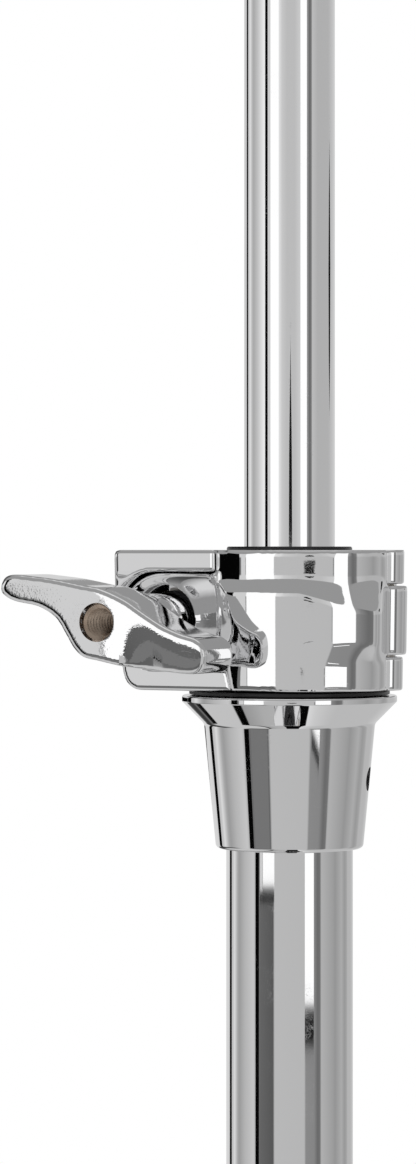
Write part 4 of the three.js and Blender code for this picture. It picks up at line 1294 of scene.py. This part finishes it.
@dataclass
class Tripod(Assembly):
    """Folding double-braced tripod; its origin is on the ground below the tube axis."""

    tube_radius: float = BASE_TUBE.outer / 2
    tube_bottom: float = 45.0
    leg_angle: float = math.radians(55)
    leg_length: float = 310.0
    link_length: float = 103.0
    pivot_radius: float = 32.0
    brace_height: float = 70.0
    body_wall: float = 5.6
    ear_radius: float = 6.5
    lock_seat: float = 13.6
    lock_boss_radius: float = 6.5
    lock_bolt_radius: float = 2.8
    strip_width: float = 13.0
    strip_thickness: float = 2.0
    strip_inner: float = 5.6
    brace_width: float = 11.0
    brace_sheet: float = 1.6
    brace_inner: float = 3.3
    brace_end: float = 15.0
    pin_radius: float = 2.6
    rivet_radius: float = 4.2
    foot_length: float = 34.0
    foot_height: float = 30.0
    foot_half_width: float = 11.0
    foot_back: float = 18.0
    groove_radius: float = 0.7
    into_foot: float = 6.0

    def __post_init__(self) -> None:
        """Works out the upper pivots' height and the legs' lean and places."""
        self.leg_height = self.brace_height + 2 * self.link_length * math.cos(self.leg_angle)
        self.tilt = QUARTER_TURN - self.leg_angle
        self.pin_bore = self.pin_radius + 0.2
        self.strip_middle = self.strip_inner + self.strip_thickness / 2
        self.bearings = [math.radians(90 + 120 * i) for i in range(3)]

    def build(self) -> None:
        """Builds and publishes hubs, legs, braces, feet and the end cap."""
        coats = self.finishes
        bores = [(CUT, rod(self.tube_radius + 0.3, -THROUGH * 2, THROUGH * 2, steps=96)) for _ in range(2)]
        lock_top = self.tube_radius + self.lock_seat
        lock_boss = forward(rod(self.lock_boss_radius, self.tube_radius + 3, lock_top, steps=48))
        lock_hole = forward(rod(self.lock_bolt_radius + 0.3, 0, THROUGH * 3, steps=32))
        lock = [(JOIN, lock_boss), bores[1], (CUT, lock_hole)]
        for ring, steps, name, body, height in (
            (self.hub(26, 3), [bores[0]], "brace_collar", "base", self.brace_height),
            (self.hub(32, 5.2), lock, "leg_collar", "leg_slider", self.leg_height),
        ):
            hub = melted(combined(ring, steps), 0.45, 4)
            self.publish(moved(hub, z=height), name, body, coats.cast, CAST)
        lock_bolt = moved(self.lock_bolt(), z=self.leg_height)
        self.publish(lock_bolt, "leg_collar_wing_bolt", "leg_lock", coats.wing, WINGED)
        self.publish(self.end_cap(), "base_tube_end_cap", "base", coats.rubber)
        for number, bearing in enumerate(self.bearings, 1):
            self.build_leg(number, bearing)

    def hub(self, height: float, ear_half: float) -> Mesh:
        """Ring with three drilled ears, before its bore.

        Args:
            height: Height of the ring.
            ear_half: Half of an ear's thickness.

        Returns:
            A closed solid about the pivots' height.
        """
        radius, inner, half = self.tube_radius + self.body_wall, self.tube_radius - 1, height / 2
        ring = spun([(inner, -half, 0), (radius, -half, 1.4), (radius, half, 1.4), (inner, half, 0)], 96)
        steps = []
        for bearing in self.bearings:
            ear = round_bar(radius - 2.8, self.pivot_radius, self.ear_radius * 2, ear_half * 2)
            steps.append((JOIN, turned(ear, bearing, "Z")))
        for bearing in self.bearings:
            hole = crossbar(self.pin_bore, THROUGH, self.pivot_radius)
            steps.append((CUT, turned(hole, bearing, "Z")))
        return combined(ring, steps)

    def lock_bolt(self) -> Mesh:
        """Wing bolt of the leg collar, which runs forward from the tube."""
        tip = self.tube_radius + 0.3
        seat = tip + self.lock_seat
        head = spun([(0, seat, 0), (4.6, seat, 0.4), (4.6, seat + 10.2, 1.4), (0, seat + 10.2, 0)], 64)
        shank = rod(self.lock_bolt_radius, tip, seat + 2, 0.5, 48)
        return forward(combined(winged(head, seat), [(JOIN, shank)]))

    def end_cap(self) -> Mesh:
        """Rubber plug in the foot of the base tube."""
        rim, plug = self.tube_radius, self.tube_radius - BASE_TUBE.wall - 0.2
        cap = spun([(0, -3.15, 0), (rim, -3.15, 1.4), (rim, -0.15, 0.2), (plug, -0.15, 0), (plug, 16, 1.0),
                    (0, 16, 0)], 96)
        return moved(cap, z=self.tube_bottom)

    def strip(self, side: int) -> Mesh:
        """Leg strip in its own line, with the rivet head of the brace joint outside.

        Args:
            side: 1 for the left strip and -1 for the right one.

        Returns:
            A closed solid.
        """
        end = self.leg_length - self.strip_width / 2 + self.into_foot
        bar = round_bar(0, end, self.strip_width, self.strip_thickness, self.pin_bore)
        soften(bar, 0.45, 2)
        head = spun([(0, 0, 0), (self.rivet_radius, 0, 0), (self.rivet_radius, 2.4, 1.6), (0, 2.4, 0)], 40)
        head = moved(turned(head, -side * QUARTER_TURN, "X"), self.link_length)
        return moved(combined(bar, [(JOIN, head)]), y=side * self.strip_middle)

    def brace(self) -> Mesh:
        """Channel-section brace bent from sheet, with a round eye at each end."""
        inner, length = self.brace_inner, self.link_length
        bar = round_bar(0, length, self.brace_width, (inner + self.brace_sheet) * 2)
        soften(bar, 1.2, 3)
        floor, beyond = self.brace_sheet - self.brace_width / 2, length + THROUGH
        inside = block((-THROUGH, -inner, floor), (beyond, inner, THROUGH))
        ends = [block((low, -inner, -THROUGH), (high, inner, 0))
                for low, high in ((-THROUGH, self.brace_end), (length - self.brace_end, beyond))]
        eyes = [crossbar(self.pin_bore, THROUGH, x) for x in (0, length)]
        return combined(bar, [(CUT, tool) for tool in (inside, *ends, *eyes)])

    def leg_pin(self) -> Mesh:
        """Pivot pin of a leg, with a head at each end."""
        shank, head = self.pin_radius, self.rivet_radius
        inner = self.strip_inner + self.strip_thickness + 0.15
        outer = inner + 1.4
        return forward(spun([(0, -outer, 0), (head, -outer, 1.0), (head, -inner, 0), (shank, -inner, 0),
                             (shank, inner, 0), (head, inner, 0), (head, outer, 1.0), (0, outer, 0)], 40))

    def brace_pin(self) -> Mesh:
        """Plain pivot pin of a brace."""
        half = self.brace_inner + self.brace_sheet + 0.3
        return forward(rod(self.pin_radius, -half, half, 0.3, 32))

    def foot(self) -> Mesh:
        """Rubber boot with a flat ribbed sole and slots for the strips."""
        shares = [(-0.03, 0.20), (0.06, 0.0), (0.84, 0.0), (0.985, 0.10), (0.97, 0.42), (0.84, 0.62),
                  (0.60, 0.84), (0.36, 0.99), (0.14, 0.93), (0.0, 0.70), (-0.05, 0.45)]
        outline = [(x * self.foot_length - self.foot_back, z * self.foot_height, 2.5) for x, z in shares]
        boot = forward(prism(rounded(outline), -self.foot_half_width, self.foot_half_width))
        soften(boot, 2.2, 3, 50)
        boot = melted(boot, 0.7, 4)
        moved(boot, z=-min(vert.co.z for vert in boot.verts))
        grooves = [crossbar(self.groove_radius, THROUGH, x, 16) for x in (-12, -7, -2, 3, 8)]
        drop = self.leg_height - self.leg_length * math.cos(self.leg_angle)
        slots = []
        for side in (-1, 1):
            slot = round_bar(-self.leg_length, self.into_foot - self.strip_width / 2, self.strip_width + 0.6,
                             self.strip_thickness + 0.6)
            slots.append(moved(turned(moved(slot, y=side * self.strip_middle), self.tilt, "Y"), z=drop))
        return combined(boot, [(CUT, tool) for tool in (*grooves, *slots)])

    def build_leg(self, number: int, bearing: float) -> None:
        """Builds and publishes one leg with its brace and foot.

        Args:
            number: The leg's number.
            bearing: Its direction round the tube.
        """
        coats = self.finishes
        leg, brace = f"leg_{number}", f"brace_{number}"
        for mesh, name, body, coat, tilt, height in (
            (self.strip(1), f"{leg}_left_strip", leg, coats.strip, self.tilt, self.leg_height),
            (self.strip(-1), f"{leg}_right_strip", leg, coats.strip, self.tilt, self.leg_height),
            (self.leg_pin(), f"{leg}_pivot_pin", leg, coats.zinc, self.tilt, self.leg_height),
            (self.brace(), brace, brace, coats.strip, -self.tilt, self.brace_height),
            (self.brace_pin(), f"{brace}_pivot_pin", brace, coats.zinc, -self.tilt, self.brace_height),
            (moved(self.brace_pin(), self.link_length), f"{brace}_middle_pin", brace, coats.zinc, -self.tilt,
             self.brace_height),
        ):
            mesh = moved(turned(mesh, tilt, "Y"), self.pivot_radius, 0, height)
            self.publish(turned(mesh, bearing, "Z"), name, body, coat)
        end = self.pivot_radius + self.leg_length * math.sin(self.leg_angle)
        foot = turned(moved(self.foot(), end), bearing, "Z")
        self.publish(foot, f"foot_{number}", leg, coats.rubber, MOULDED)


@dataclass
class Tilter(Assembly):
    """Ratchet tilter; its origin is the top tube's upper end on the axis."""

    stem_radius: float = 6.45
    stem_length: float = 40.0
    shoulder_radius: float = 9.5
    shoulder_height: float = 9.0
    pivot_rise: float = 24.0
    disc_radius: float = 13.5
    disc_thickness: float = 8.0
    tooth_count: int = 36
    tooth_depth: float = 0.9
    neck_half: float = 6.0
    head_rise: float = 24.0
    head_radius: float = 7.5
    head_height: float = 12.0
    rod_radius: float = 4.0
    rod_depth: float = 9.0
    bolt_radius: float = 2.8
    seat_gap: float = 0.15

    def build(self) -> None:
        """Builds and publishes the tilter's four pieces."""
        coats = self.finishes
        self.publish(self.base(), "tilter_base", "top", coats.cast, TOOTHED)
        for mesh, part, body, coat, shading in ((self.head(), "head", "head", coats.cast, TOOTHED),
                                                (self.bolt(), "bolt", "top", coats.zinc, EDGED),
                                                (self.nut(), "wing_nut", "tilter_nut", coats.wing, WINGED)):
            self.publish(moved(mesh, z=self.pivot_rise), f"tilter_{part}", body, coat, shading)

    def disc(self) -> Mesh:
        """Half of the ratchet about the pivot, on the front side, its teeth facing back."""
        steps = self.tooth_count * 2
        disc = spun([(0, self.seat_gap, 0), (self.disc_radius, self.seat_gap, 0),
                     (self.disc_radius, self.disc_thickness, 1.2), (0, self.disc_thickness, 0)], steps)
        for vert in disc.verts:
            radius = math.hypot(vert.co.x, vert.co.y)
            on_face = abs(vert.co.z - self.seat_gap) < 0.01 and radius > self.disc_radius - 0.1
            if on_face and round(math.atan2(vert.co.y, vert.co.x) / FULL_TURN * steps) % 2:
                vert.co.z += self.tooth_depth
        return forward(disc)

    def neck(self, back: float, front: float, bottom: float, top: float) -> Mesh:
        """Softened block between a half's disc and its round part."""
        neck = block((-self.neck_half, back, bottom), (self.neck_half, front, top))
        soften(neck, 0.6, 2)
        return neck

    def base(self) -> Mesh:
        """Lower half: stem in the tube, shoulder, neck and front disc."""
        stem, shoulder, rise = self.stem_radius, self.shoulder_radius, self.shoulder_height
        return combined(spun([
            (0, -self.stem_length, 0), (stem, -self.stem_length, 0.8), (stem, self.seat_gap, 0),
            (shoulder, self.seat_gap, 0.5), (shoulder, rise - 1, 2.2), (self.neck_half, rise + 1.5, 1.5),
            (0, rise + 1.5, 0),
        ], 96), [
            (JOIN, self.neck(-self.disc_thickness, -self.seat_gap, rise - 2, self.pivot_rise)),
            (JOIN, moved(self.disc(), z=self.pivot_rise)),
            (CUT, moved(crossbar(self.bolt_radius + 0.3, THROUGH), z=self.pivot_rise)),
        ])

    def head(self) -> Mesh:
        """Upper half about the pivot: rear disc, neck and the socket of the cymbal rod."""
        top = self.head_rise + self.head_height / 2
        bottom = top - self.head_height
        radius = self.head_radius
        socket = spun([(0, bottom, 0), (radius, bottom, 2.4), (radius, top, 1.0), (0, top, 0)], 96)
        return combined(turned(self.disc(), math.pi, "Z"), [
            (JOIN, self.neck(self.seat_gap, self.disc_thickness, 0, self.head_rise - 1)),
            (JOIN, socket),
            (CUT, crossbar(self.bolt_radius + 0.3, THROUGH)),
            (CUT, rod(self.rod_radius + 0.2, top - self.rod_depth, top + OVERRUN, steps=48)),
        ])

    def bolt(self) -> Mesh:
        """Pivot bolt with a low domed head at the back."""
        reach, shank = self.disc_thickness + self.seat_gap, self.bolt_radius
        return forward(spun([(0, -reach - 4, 0), (7, -reach - 4, 2.0), (7, -reach, 0.3), (shank, -reach, 0),
                             (shank, reach + 4.5, 0.5), (0, reach + 4.5, 0)], 64))

    def nut(self) -> Mesh:
        """Small wing nut on the pivot bolt."""
        seat = self.disc_thickness + self.seat_gap * 2
        top = seat + 10.2
        hub = spun([(0, seat, 0), (5.8, seat, 0.4), (5.8, seat + 8, 0.8), (4.6, top, 0.8), (0, top, 0)], 64)
        bore = rod(self.bolt_radius + 0.2, seat - OVERRUN, seat + THROUGH, steps=40)
        return forward(combined(winged(hub, seat), [(CUT, bore)]))


@dataclass
class CymbalSeat(Assembly):
    """Threaded rod, sleeve, cup washer, felts and wing nut; its origin is the tilter head's top."""

    rod_radius: float = 4.0
    rod_depth: float = 8.7
    rod_top: float = 83.0
    sleeve_inner: float = 4.2
    sleeve_outer: float = 6.1
    felt_inner: float = 6.4
    felt_radius: float = 18.0
    felt_thickness: float = 11.0
    cymbal_gap: float = 2.4
    seat_gap: float = 0.15
    cup_bottom: float = 3.3
    cup_height: float = 4.0
    nut_height: float = 17.0

    def build(self) -> None:
        """Builds and publishes the seat's six pieces."""
        coats = self.finishes
        lower = self.cup_bottom + self.cup_height + self.seat_gap
        upper = lower + self.felt_thickness + self.cymbal_gap
        sleeve_top = upper + self.felt_thickness
        self.publish(self.threaded_rod(), "cymbal_rod", "head", coats.zinc, WINGED)
        self.publish(self.sleeve(sleeve_top), "seat_sleeve", "head", coats.nylon)
        self.publish(moved(self.cup(), z=self.cup_bottom), "cup_washer", "head", coats.turned)
        for name, body, height in (("lower_felt", "head", lower), ("upper_felt", "seat_top", upper)):
            felt = self.publish(moved(self.felt(height), z=height), name, body, coats.felt, PRESSED)
        nut = moved(self.wing_nut(), z=sleeve_top + self.seat_gap * 2)
        self.publish(nut, "top_wing_nut", "top_nut", coats.wing, WINGED)

    def threaded_rod(self) -> Mesh:
        """M8 rod with a chamfered tip and a rolled thread above the socket."""
        radius, top = self.rod_radius, self.rod_top
        core = lathe([(0, -self.rod_depth), (radius, -self.rod_depth), (radius, 8), (3.45, 8.6),
                      (3.45, top - 0.8), (2.9, top), (0, top)], 48)
        return combined(core, [(JOIN, helix_ridge(3.4, radius, 1.25, 8.2, top - 0.9))])

    def sleeve(self, top: float) -> Mesh:
        """Nylon sleeve with its flange on the tilter."""
        inner, outer, bottom = self.sleeve_inner, self.sleeve_outer, self.seat_gap
        return spun([(inner, bottom, 0.2), (9, bottom, 0.4), (9, bottom + 3, 0.8), (outer, bottom + 3, 0.5),
                     (outer, top, 0.5), (inner, top, 0.3)], 96)

    def cup(self) -> Mesh:
        """Dished cup washer under the lower felt."""
        bore, top = self.sleeve_outer + 0.2, self.cup_height
        return spun([(bore, 0, 0.2), (bore + 4.4, 0, 1.5), (19, 2.4, 0.5), (19, top, 0.5), (bore, top, 0.3)],
                    128)

    def felt(self, seed: float) -> Mesh:
        """Pressed felt disc with soft crowned edges and a fibrous, slightly uneven surface.

        Args:
            seed: Shifts the unevenness, so that no two felts are alike.

        Returns:
            A closed solid.
        """
        inner, outer, top = self.felt_inner, self.felt_radius, self.felt_thickness
        profile = rounded([(inner, 0, 0.8), (outer, 0, 2.2), (outer, top, 2.2), (inner, top, 0.8)], 8)
        mesh = lathe(resampled(profile, 0.55), 200)
        for vert in mesh.verts:
            if math.hypot(vert.co.x, vert.co.y) > (inner + outer) / 2:
                spot = vert.co + Vector((seed, seed * 2, 0))
                fuzz = noise.noise(spot * 1.6) * 0.10 + noise.noise(spot * 0.35) * 0.14
                vert.co -= Vector((vert.co.x, vert.co.y, 0)).normalized() * (0.24 + fuzz)
                vert.co.z += (top / 2 - vert.co.z) * 0.02
        return mesh

    def wing_nut(self) -> Mesh:
        """Upright wing nut that closes the seat."""
        top = self.nut_height
        hub = spun([(0, 0, 0), (9, 0, 0.4), (9, 3, 0.8), (6.8, 3.6, 1.2), (6.8, top, 1.4), (0, top, 0)], 64)
        half = [(0, 0.05), (0.4, 0.06), (0.75, 0.26), (0.96, 0.60), (1, 0.86), (0.9, 1), (0.72, 0.96),
                (0.5, 0.7), (0.25, 0.55), (0, 0.5)]
        wings = []
        for side in (1, -1):
            outline = [(x * 20 * side, y * 13 + 3, 1.2) for x, y in half]
            wings.append((JOIN, forward(prism(rounded(outline[::side]), -2.2, 2.2))))
        cast = melted(combined(hub, wings), 0.3, 6)
        return combined(cast, [(CUT, rod(4.2, -OVERRUN, top + OVERRUN, steps=48))])


# The studio that the chrome reflects


def screen_level(grey: float) -> float:
    """Light that the plating shows as a screen grey from 0 to 255."""
    return (grey / 255) ** 2.2 / 0.93


@dataclass(frozen=True)
class Panel:
    """Card, flag or soft box round the stand: its bearings and elevations in degrees, and its screen grey."""

    left: float
    right: float
    low: float
    high: float
    grey: float
    edge: float = 0.5
    rim: float = 0.05

    def mask(self, nodes: Nodes, bearing: Socket, rise: Socket) -> Socket:
        """Share that the panel has of what is seen in a direction.

        Args:
            nodes: World nodes.
            bearing: Bearing in degrees.
            rise: Elevation in degrees.

        Returns:
            0 beside the panel and 1 on it.
        """
        across = nodes.math("MULTIPLY", nodes.spread(bearing, self.left, self.left + self.edge),
                            nodes.spread(bearing, self.right - self.edge, self.right, 1.0, 0.0))
        upright = nodes.math("MULTIPLY", nodes.spread(rise, self.low, self.low + self.rim),
                             nodes.spread(rise, self.high - self.rim, self.high, 1.0, 0.0))
        return nodes.math("MULTIPLY", across, upright)


@dataclass(frozen=True)
class Shadow:
    """Dark upright shape: the bearing of its middle, and half its width at each elevation, all in degrees."""

    bearing: float
    widths: tuple[Point, ...]
    widest: float = 10.0

    def mask(self, nodes: Nodes, bearing: Socket, rise: Socket) -> Socket:
        """Share that the shape has of what is seen in a direction.

        Args:
            nodes: World nodes.
            bearing: Bearing in degrees.
            rise: Elevation in degrees.

        Returns:
            0 beside the shape and 1 on it.
        """
        half = nodes.ramp(rise, self.widths[0][0], self.widths[-1][0],
                          ((place, width / self.widest) for place, width in self.widths))
        away = nodes.math("ABSOLUTE", nodes.math("SUBTRACT", bearing, self.bearing))
        return nodes.math("LESS_THAN", nodes.math("DIVIDE", away, self.widest), half)


# Walls of the studio: bearings from the camera in degrees, right positive, and the grey seen in the
# chrome there
UPPER_WALLS = (
    (-180, 205), (-150, 196), (-130, 190), (-121, 221), (-110, 175), (-105, 166), (-90, 190), (-68, 235),
    (-57, 203), (-28, 225), (-20, 197), (-8, 185), (12, 185), (25, 200), (44, 150), (51, 100), (56.5, 122),
    (58, 187), (75, 173), (115, 174), (150, 198), (180, 205),
)
LOWER_WALLS = (
    (-180, 212), (-150, 208), (-127, 190), (-121, 216), (-110, 163), (-105, 152), (-90, 177), (-70, 195),
    (-57, 100), (-31, 86), (-28.5, 182), (26, 180), (28, 135), (44, 132), (51, 104), (56.5, 114), (58, 174),
    (85, 154), (90, 147), (108, 169), (118, 150), (126, 160), (130, 177), (145, 178), (180, 208),
)

# Greys of the studio's floor, by how far right a downward ray leads
FLOOR_BANDS = (
    (-0.5, 190), (-0.435, 190), (-0.43, 12), (-0.39, 12), (-0.385, 148), (-0.25, 168), (-0.082, 174),
    (-0.077, 12), (0.175, 12), (0.18, 212), (0.25, 198), (0.4, 182), (0.5, 182),
)

# Soft boxes, the cards under them, flags and gaps
PANELS = (
    Panel(-142, -131.5, -30, 9.5, 12),
    Panel(-66.3, -58.2, -17, 9.5, 12),
    Panel(-57, -51, -5.4, 9.5, 203),
    Panel(-51, -28.5, -5.25, 9.5, 255),
    Panel(-57, -28.8, -5.5, -5.27, 14),
    Panel(-57, -31, -17, -10.5, 114, edge=1.5),
    Panel(26.2, 43.8, -7.05, 9.5, 255),
    Panel(26.2, 43.8, -7.7, -7.1, 14),
    Panel(24.8, 25.8, -4.5, -1.2, 40),
    Panel(-178, -140, -4.5, -0.6, 14, edge=3.0),
    Panel(-178, -72, 9.9, 50, 80, edge=16.0),
    Panel(-178, -85, -34, -16.5, 60, edge=16.0),
    Panel(29, 41.0, -13.45, -12.0, 255),
    Panel(29, 41.0, -13.8, -13.5, 14),
)

# Dark shapes: a tapering stand and the photographer in front, a far rail at the right
SHADOWS = (
    Shadow(1.2, ((-0.1, 0), (0.0, 4.3), (1.5, 3.4), (3.2, 0))),
    Shadow(1.2, ((-2.05, 0), (-1.98, 4.4), (-1.9, 5.2), (-1.82, 3.4), (-1.74, 5.2), (-1.64, 5.6), (-1.6, 0))),
    Shadow(1.2, ((-3.42, 0), (-3.36, 4.6), (-3.32, 4.8), (-3.3, 0))),
    Shadow(121.5, ((2.0, 0), (3.0, 3.6), (4.3, 5.0), (5.4, 3.0), (6.3, 0))),
)


@dataclass
class Studio:
    """White surroundings, what the chrome reflects, soft lamps and the photograph's camera, in metres.

    Attributes:
        target: Point on the tube axis at the camera's height.
        bearing: Camera's direction from the object, from -Y towards +X.
        distance: Distance of the camera from the tube axis.
        aside: How far left of the axis the camera stands.
        lens: Its focal length in millimetres, for a sensor as high as a 35 mm frame is wide.
        shift: Its upright shift, as a share of the frame.
        ceiling: Elevations between which the walls end, and the screen grey above them.
        zenith: Elevations between which the ceiling brightens, and its screen grey there.
        shadow_grey: Screen grey of the dark shapes.
        floor_rises: Elevations between which the floor ends.
    """

    target: Vector
    bearing: float
    distance: float = 0.650
    aside: float = 0.0143
    lens: float = 114.6
    shift: float = -0.030
    ceiling: tuple[float, float, float] = (8.8, 9.8, 146)
    zenith: tuple[float, float, float] = (55.0, 75.0, 215)
    shadow_grey: float = 24
    floor_rises: tuple[float, float] = (-32.0, -25.0)

    def __post_init__(self) -> None:
        """Works out the camera's directions."""
        self.towards = Vector((math.sin(self.bearing), -math.cos(self.bearing), 0))
        self.right = Vector((math.cos(self.bearing), math.sin(self.bearing), 0))

    def build(self) -> None:
        """Builds the camera, world and lamps."""
        self.camera()
        self.world()
        self.lamps()
        bpy.context.scene.view_settings.view_transform = "Standard"

    def camera(self) -> None:
        """Level camera in front of the upper joint."""
        data = bpy.data.cameras.new("photo_camera")
        data.sensor_fit = "VERTICAL"
        data.sensor_height = 36.0
        data.lens = self.lens
        data.shift_y = self.shift
        camera = bpy.data.objects.new("photo_camera", data)
        camera.location = self.target + self.towards * self.distance - self.right * self.aside
        camera.rotation_euler = (-self.towards).to_track_quat("-Z", "Y").to_euler()
        bpy.context.scene.collection.objects.link(camera)
        bpy.context.scene.camera = camera

    def world(self) -> None:
        """World that is white to the camera and to diffuse light, and shows the studio's panels to glossy
        rays.
        """
        world = bpy.data.worlds.new("studio")
        world.use_nodes = True
        bpy.context.scene.world = world
        nodes = Nodes(world.node_tree)
        ray = nodes.add("ShaderNodeTexCoord").outputs["Generated"]
        ahead, aside = (self.along(nodes, ray, axis) for axis in (self.towards, self.right))
        split = nodes.add("ShaderNodeSeparateXYZ")
        nodes.link(ray, split.inputs["Vector"])
        bearing = nodes.math("DEGREES", nodes.math("ARCTAN2", aside, ahead))
        rise = nodes.math("DEGREES", nodes.math("ARCSINE", split.outputs["Z"]))
        lower, upper = (self.greys(nodes, bearing, 180.0, walls) for walls in (LOWER_WALLS, UPPER_WALLS))
        seen = nodes.mix(nodes.spread(rise, -1.0, 0.0), lower, upper)
        for start, end, grey in (self.ceiling, self.zenith):
            seen = nodes.mix(nodes.spread(rise, start, end), seen, self.even(grey))
        for panel in PANELS:
            seen = nodes.mix(panel.mask(nodes, bearing, rise), seen, self.even(panel.grey))
        for shape in SHADOWS:
            seen = nodes.mix(shape.mask(nodes, bearing, rise), seen, self.even(self.shadow_grey))
        floor = self.greys(nodes, aside, 0.5, FLOOR_BANDS)
        seen = nodes.mix(nodes.spread(rise, *self.floor_rises), floor, seen)
        path = nodes.add("ShaderNodeLightPath")
        shown = nodes.mix(path.outputs["Is Glossy Ray"], (1.0, 1.0, 1.0), seen)
        nodes.link(shown, world.node_tree.nodes["Background"].inputs["Color"])

    @staticmethod
    def along(nodes: Nodes, ray: Socket, axis: Vector) -> Socket:
        """How far a ray leads along an axis."""
        dot = nodes.add("ShaderNodeVectorMath", operation="DOT_PRODUCT")
        nodes.link(ray, dot.inputs[0])
        dot.inputs[1].default_value = axis
        return dot.outputs["Value"]

    @staticmethod
    def greys(nodes: Nodes, value: Socket, limit: float, stops: Sequence[Point]) -> Socket:
        """Ramp of screen greys over a value from minus the limit to plus the limit."""
        return nodes.ramp(value, -limit, limit, ((place, screen_level(grey)) for place, grey in stops))

    @staticmethod
    def even(grey: float) -> Colour:
        """Colour of an even screen grey."""
        return (screen_level(grey),) * 3

    def lamps(self) -> None:
        """Two large soft lamps above and in front, left out of reflections."""
        for name, side, ahead, height, power in (("key_lamp", -1.1, 1.3, 2.1, 26.0),
                                                 ("fill_lamp", 1.3, 1.0, 1.6, 14.0)):
            data = bpy.data.lights.new(name, "AREA")
            data.shape = "DISK"
            data.size = 1.2
            data.energy = power
            lamp = bpy.data.objects.new(name, data)
            lamp.location = self.towards * ahead + self.right * side + Vector((0, 0, height))
            lamp.rotation_euler = (Vector((0, 0, 0.5)) - lamp.location).to_track_quat("-Z", "Y").to_euler()
            lamp.visible_glossy = False
            bpy.context.scene.collection.objects.link(lamp)


# The whole stand


def box_end(node: str, end: int) -> float:
    """Height of a node's lowest point (0) or highest point (1)."""
    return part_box(node)[end][2]


CAMERA_BEARING = math.radians(27)
CAMERA_RISE = 0.0005


@dataclass
class Stand:
    """The whole stand, built from the tubes up."""

    finishes: Finishes = field(default_factory=Finishes)

    def build(self) -> None:
        """Builds every sub-assembly in its place, and the studio."""
        for tube in (BASE_TUBE, MIDDLE_TUBE, TOP_TUBE):
            bottom, top = box_end(tube.node, 0), box_end(tube.node, 1)
            Tube(self.finishes, self.on_axis(bottom), tube, (top - bottom) / MM).build()
        for label, carrier, slider in (("upper", MIDDLE_TUBE, TOP_TUBE), ("lower", BASE_TUBE, MIDDLE_TUBE)):
            place = self.on_axis(box_end(f"{label}_clamp_body", 1))
            TubeJoint(self.finishes, place, label, carrier, slider).build()
        Tripod(self.finishes, self.on_axis(0)).build()
        Tilter(self.finishes, self.on_axis(box_end("top_tube", 1))).build()
        CymbalSeat(self.finishes, self.on_axis(box_end("tilter_head", 1))).build()
        Studio(self.on_axis(box_end("upper_clamp_body", 1) + CAMERA_RISE), CAMERA_BEARING).build()

    @staticmethod
    def on_axis(height: float) -> Vector:
        """Point of the tube axis at a height in metres."""
        low, high = (Vector(corner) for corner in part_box("base_tube"))
        axis = (low + high) / 2
        return Vector((axis.x, axis.y, height))


def main() -> None:
    """Builds the stand and its studio."""
    Stand().build()


if __name__ == "__main__":
    main()
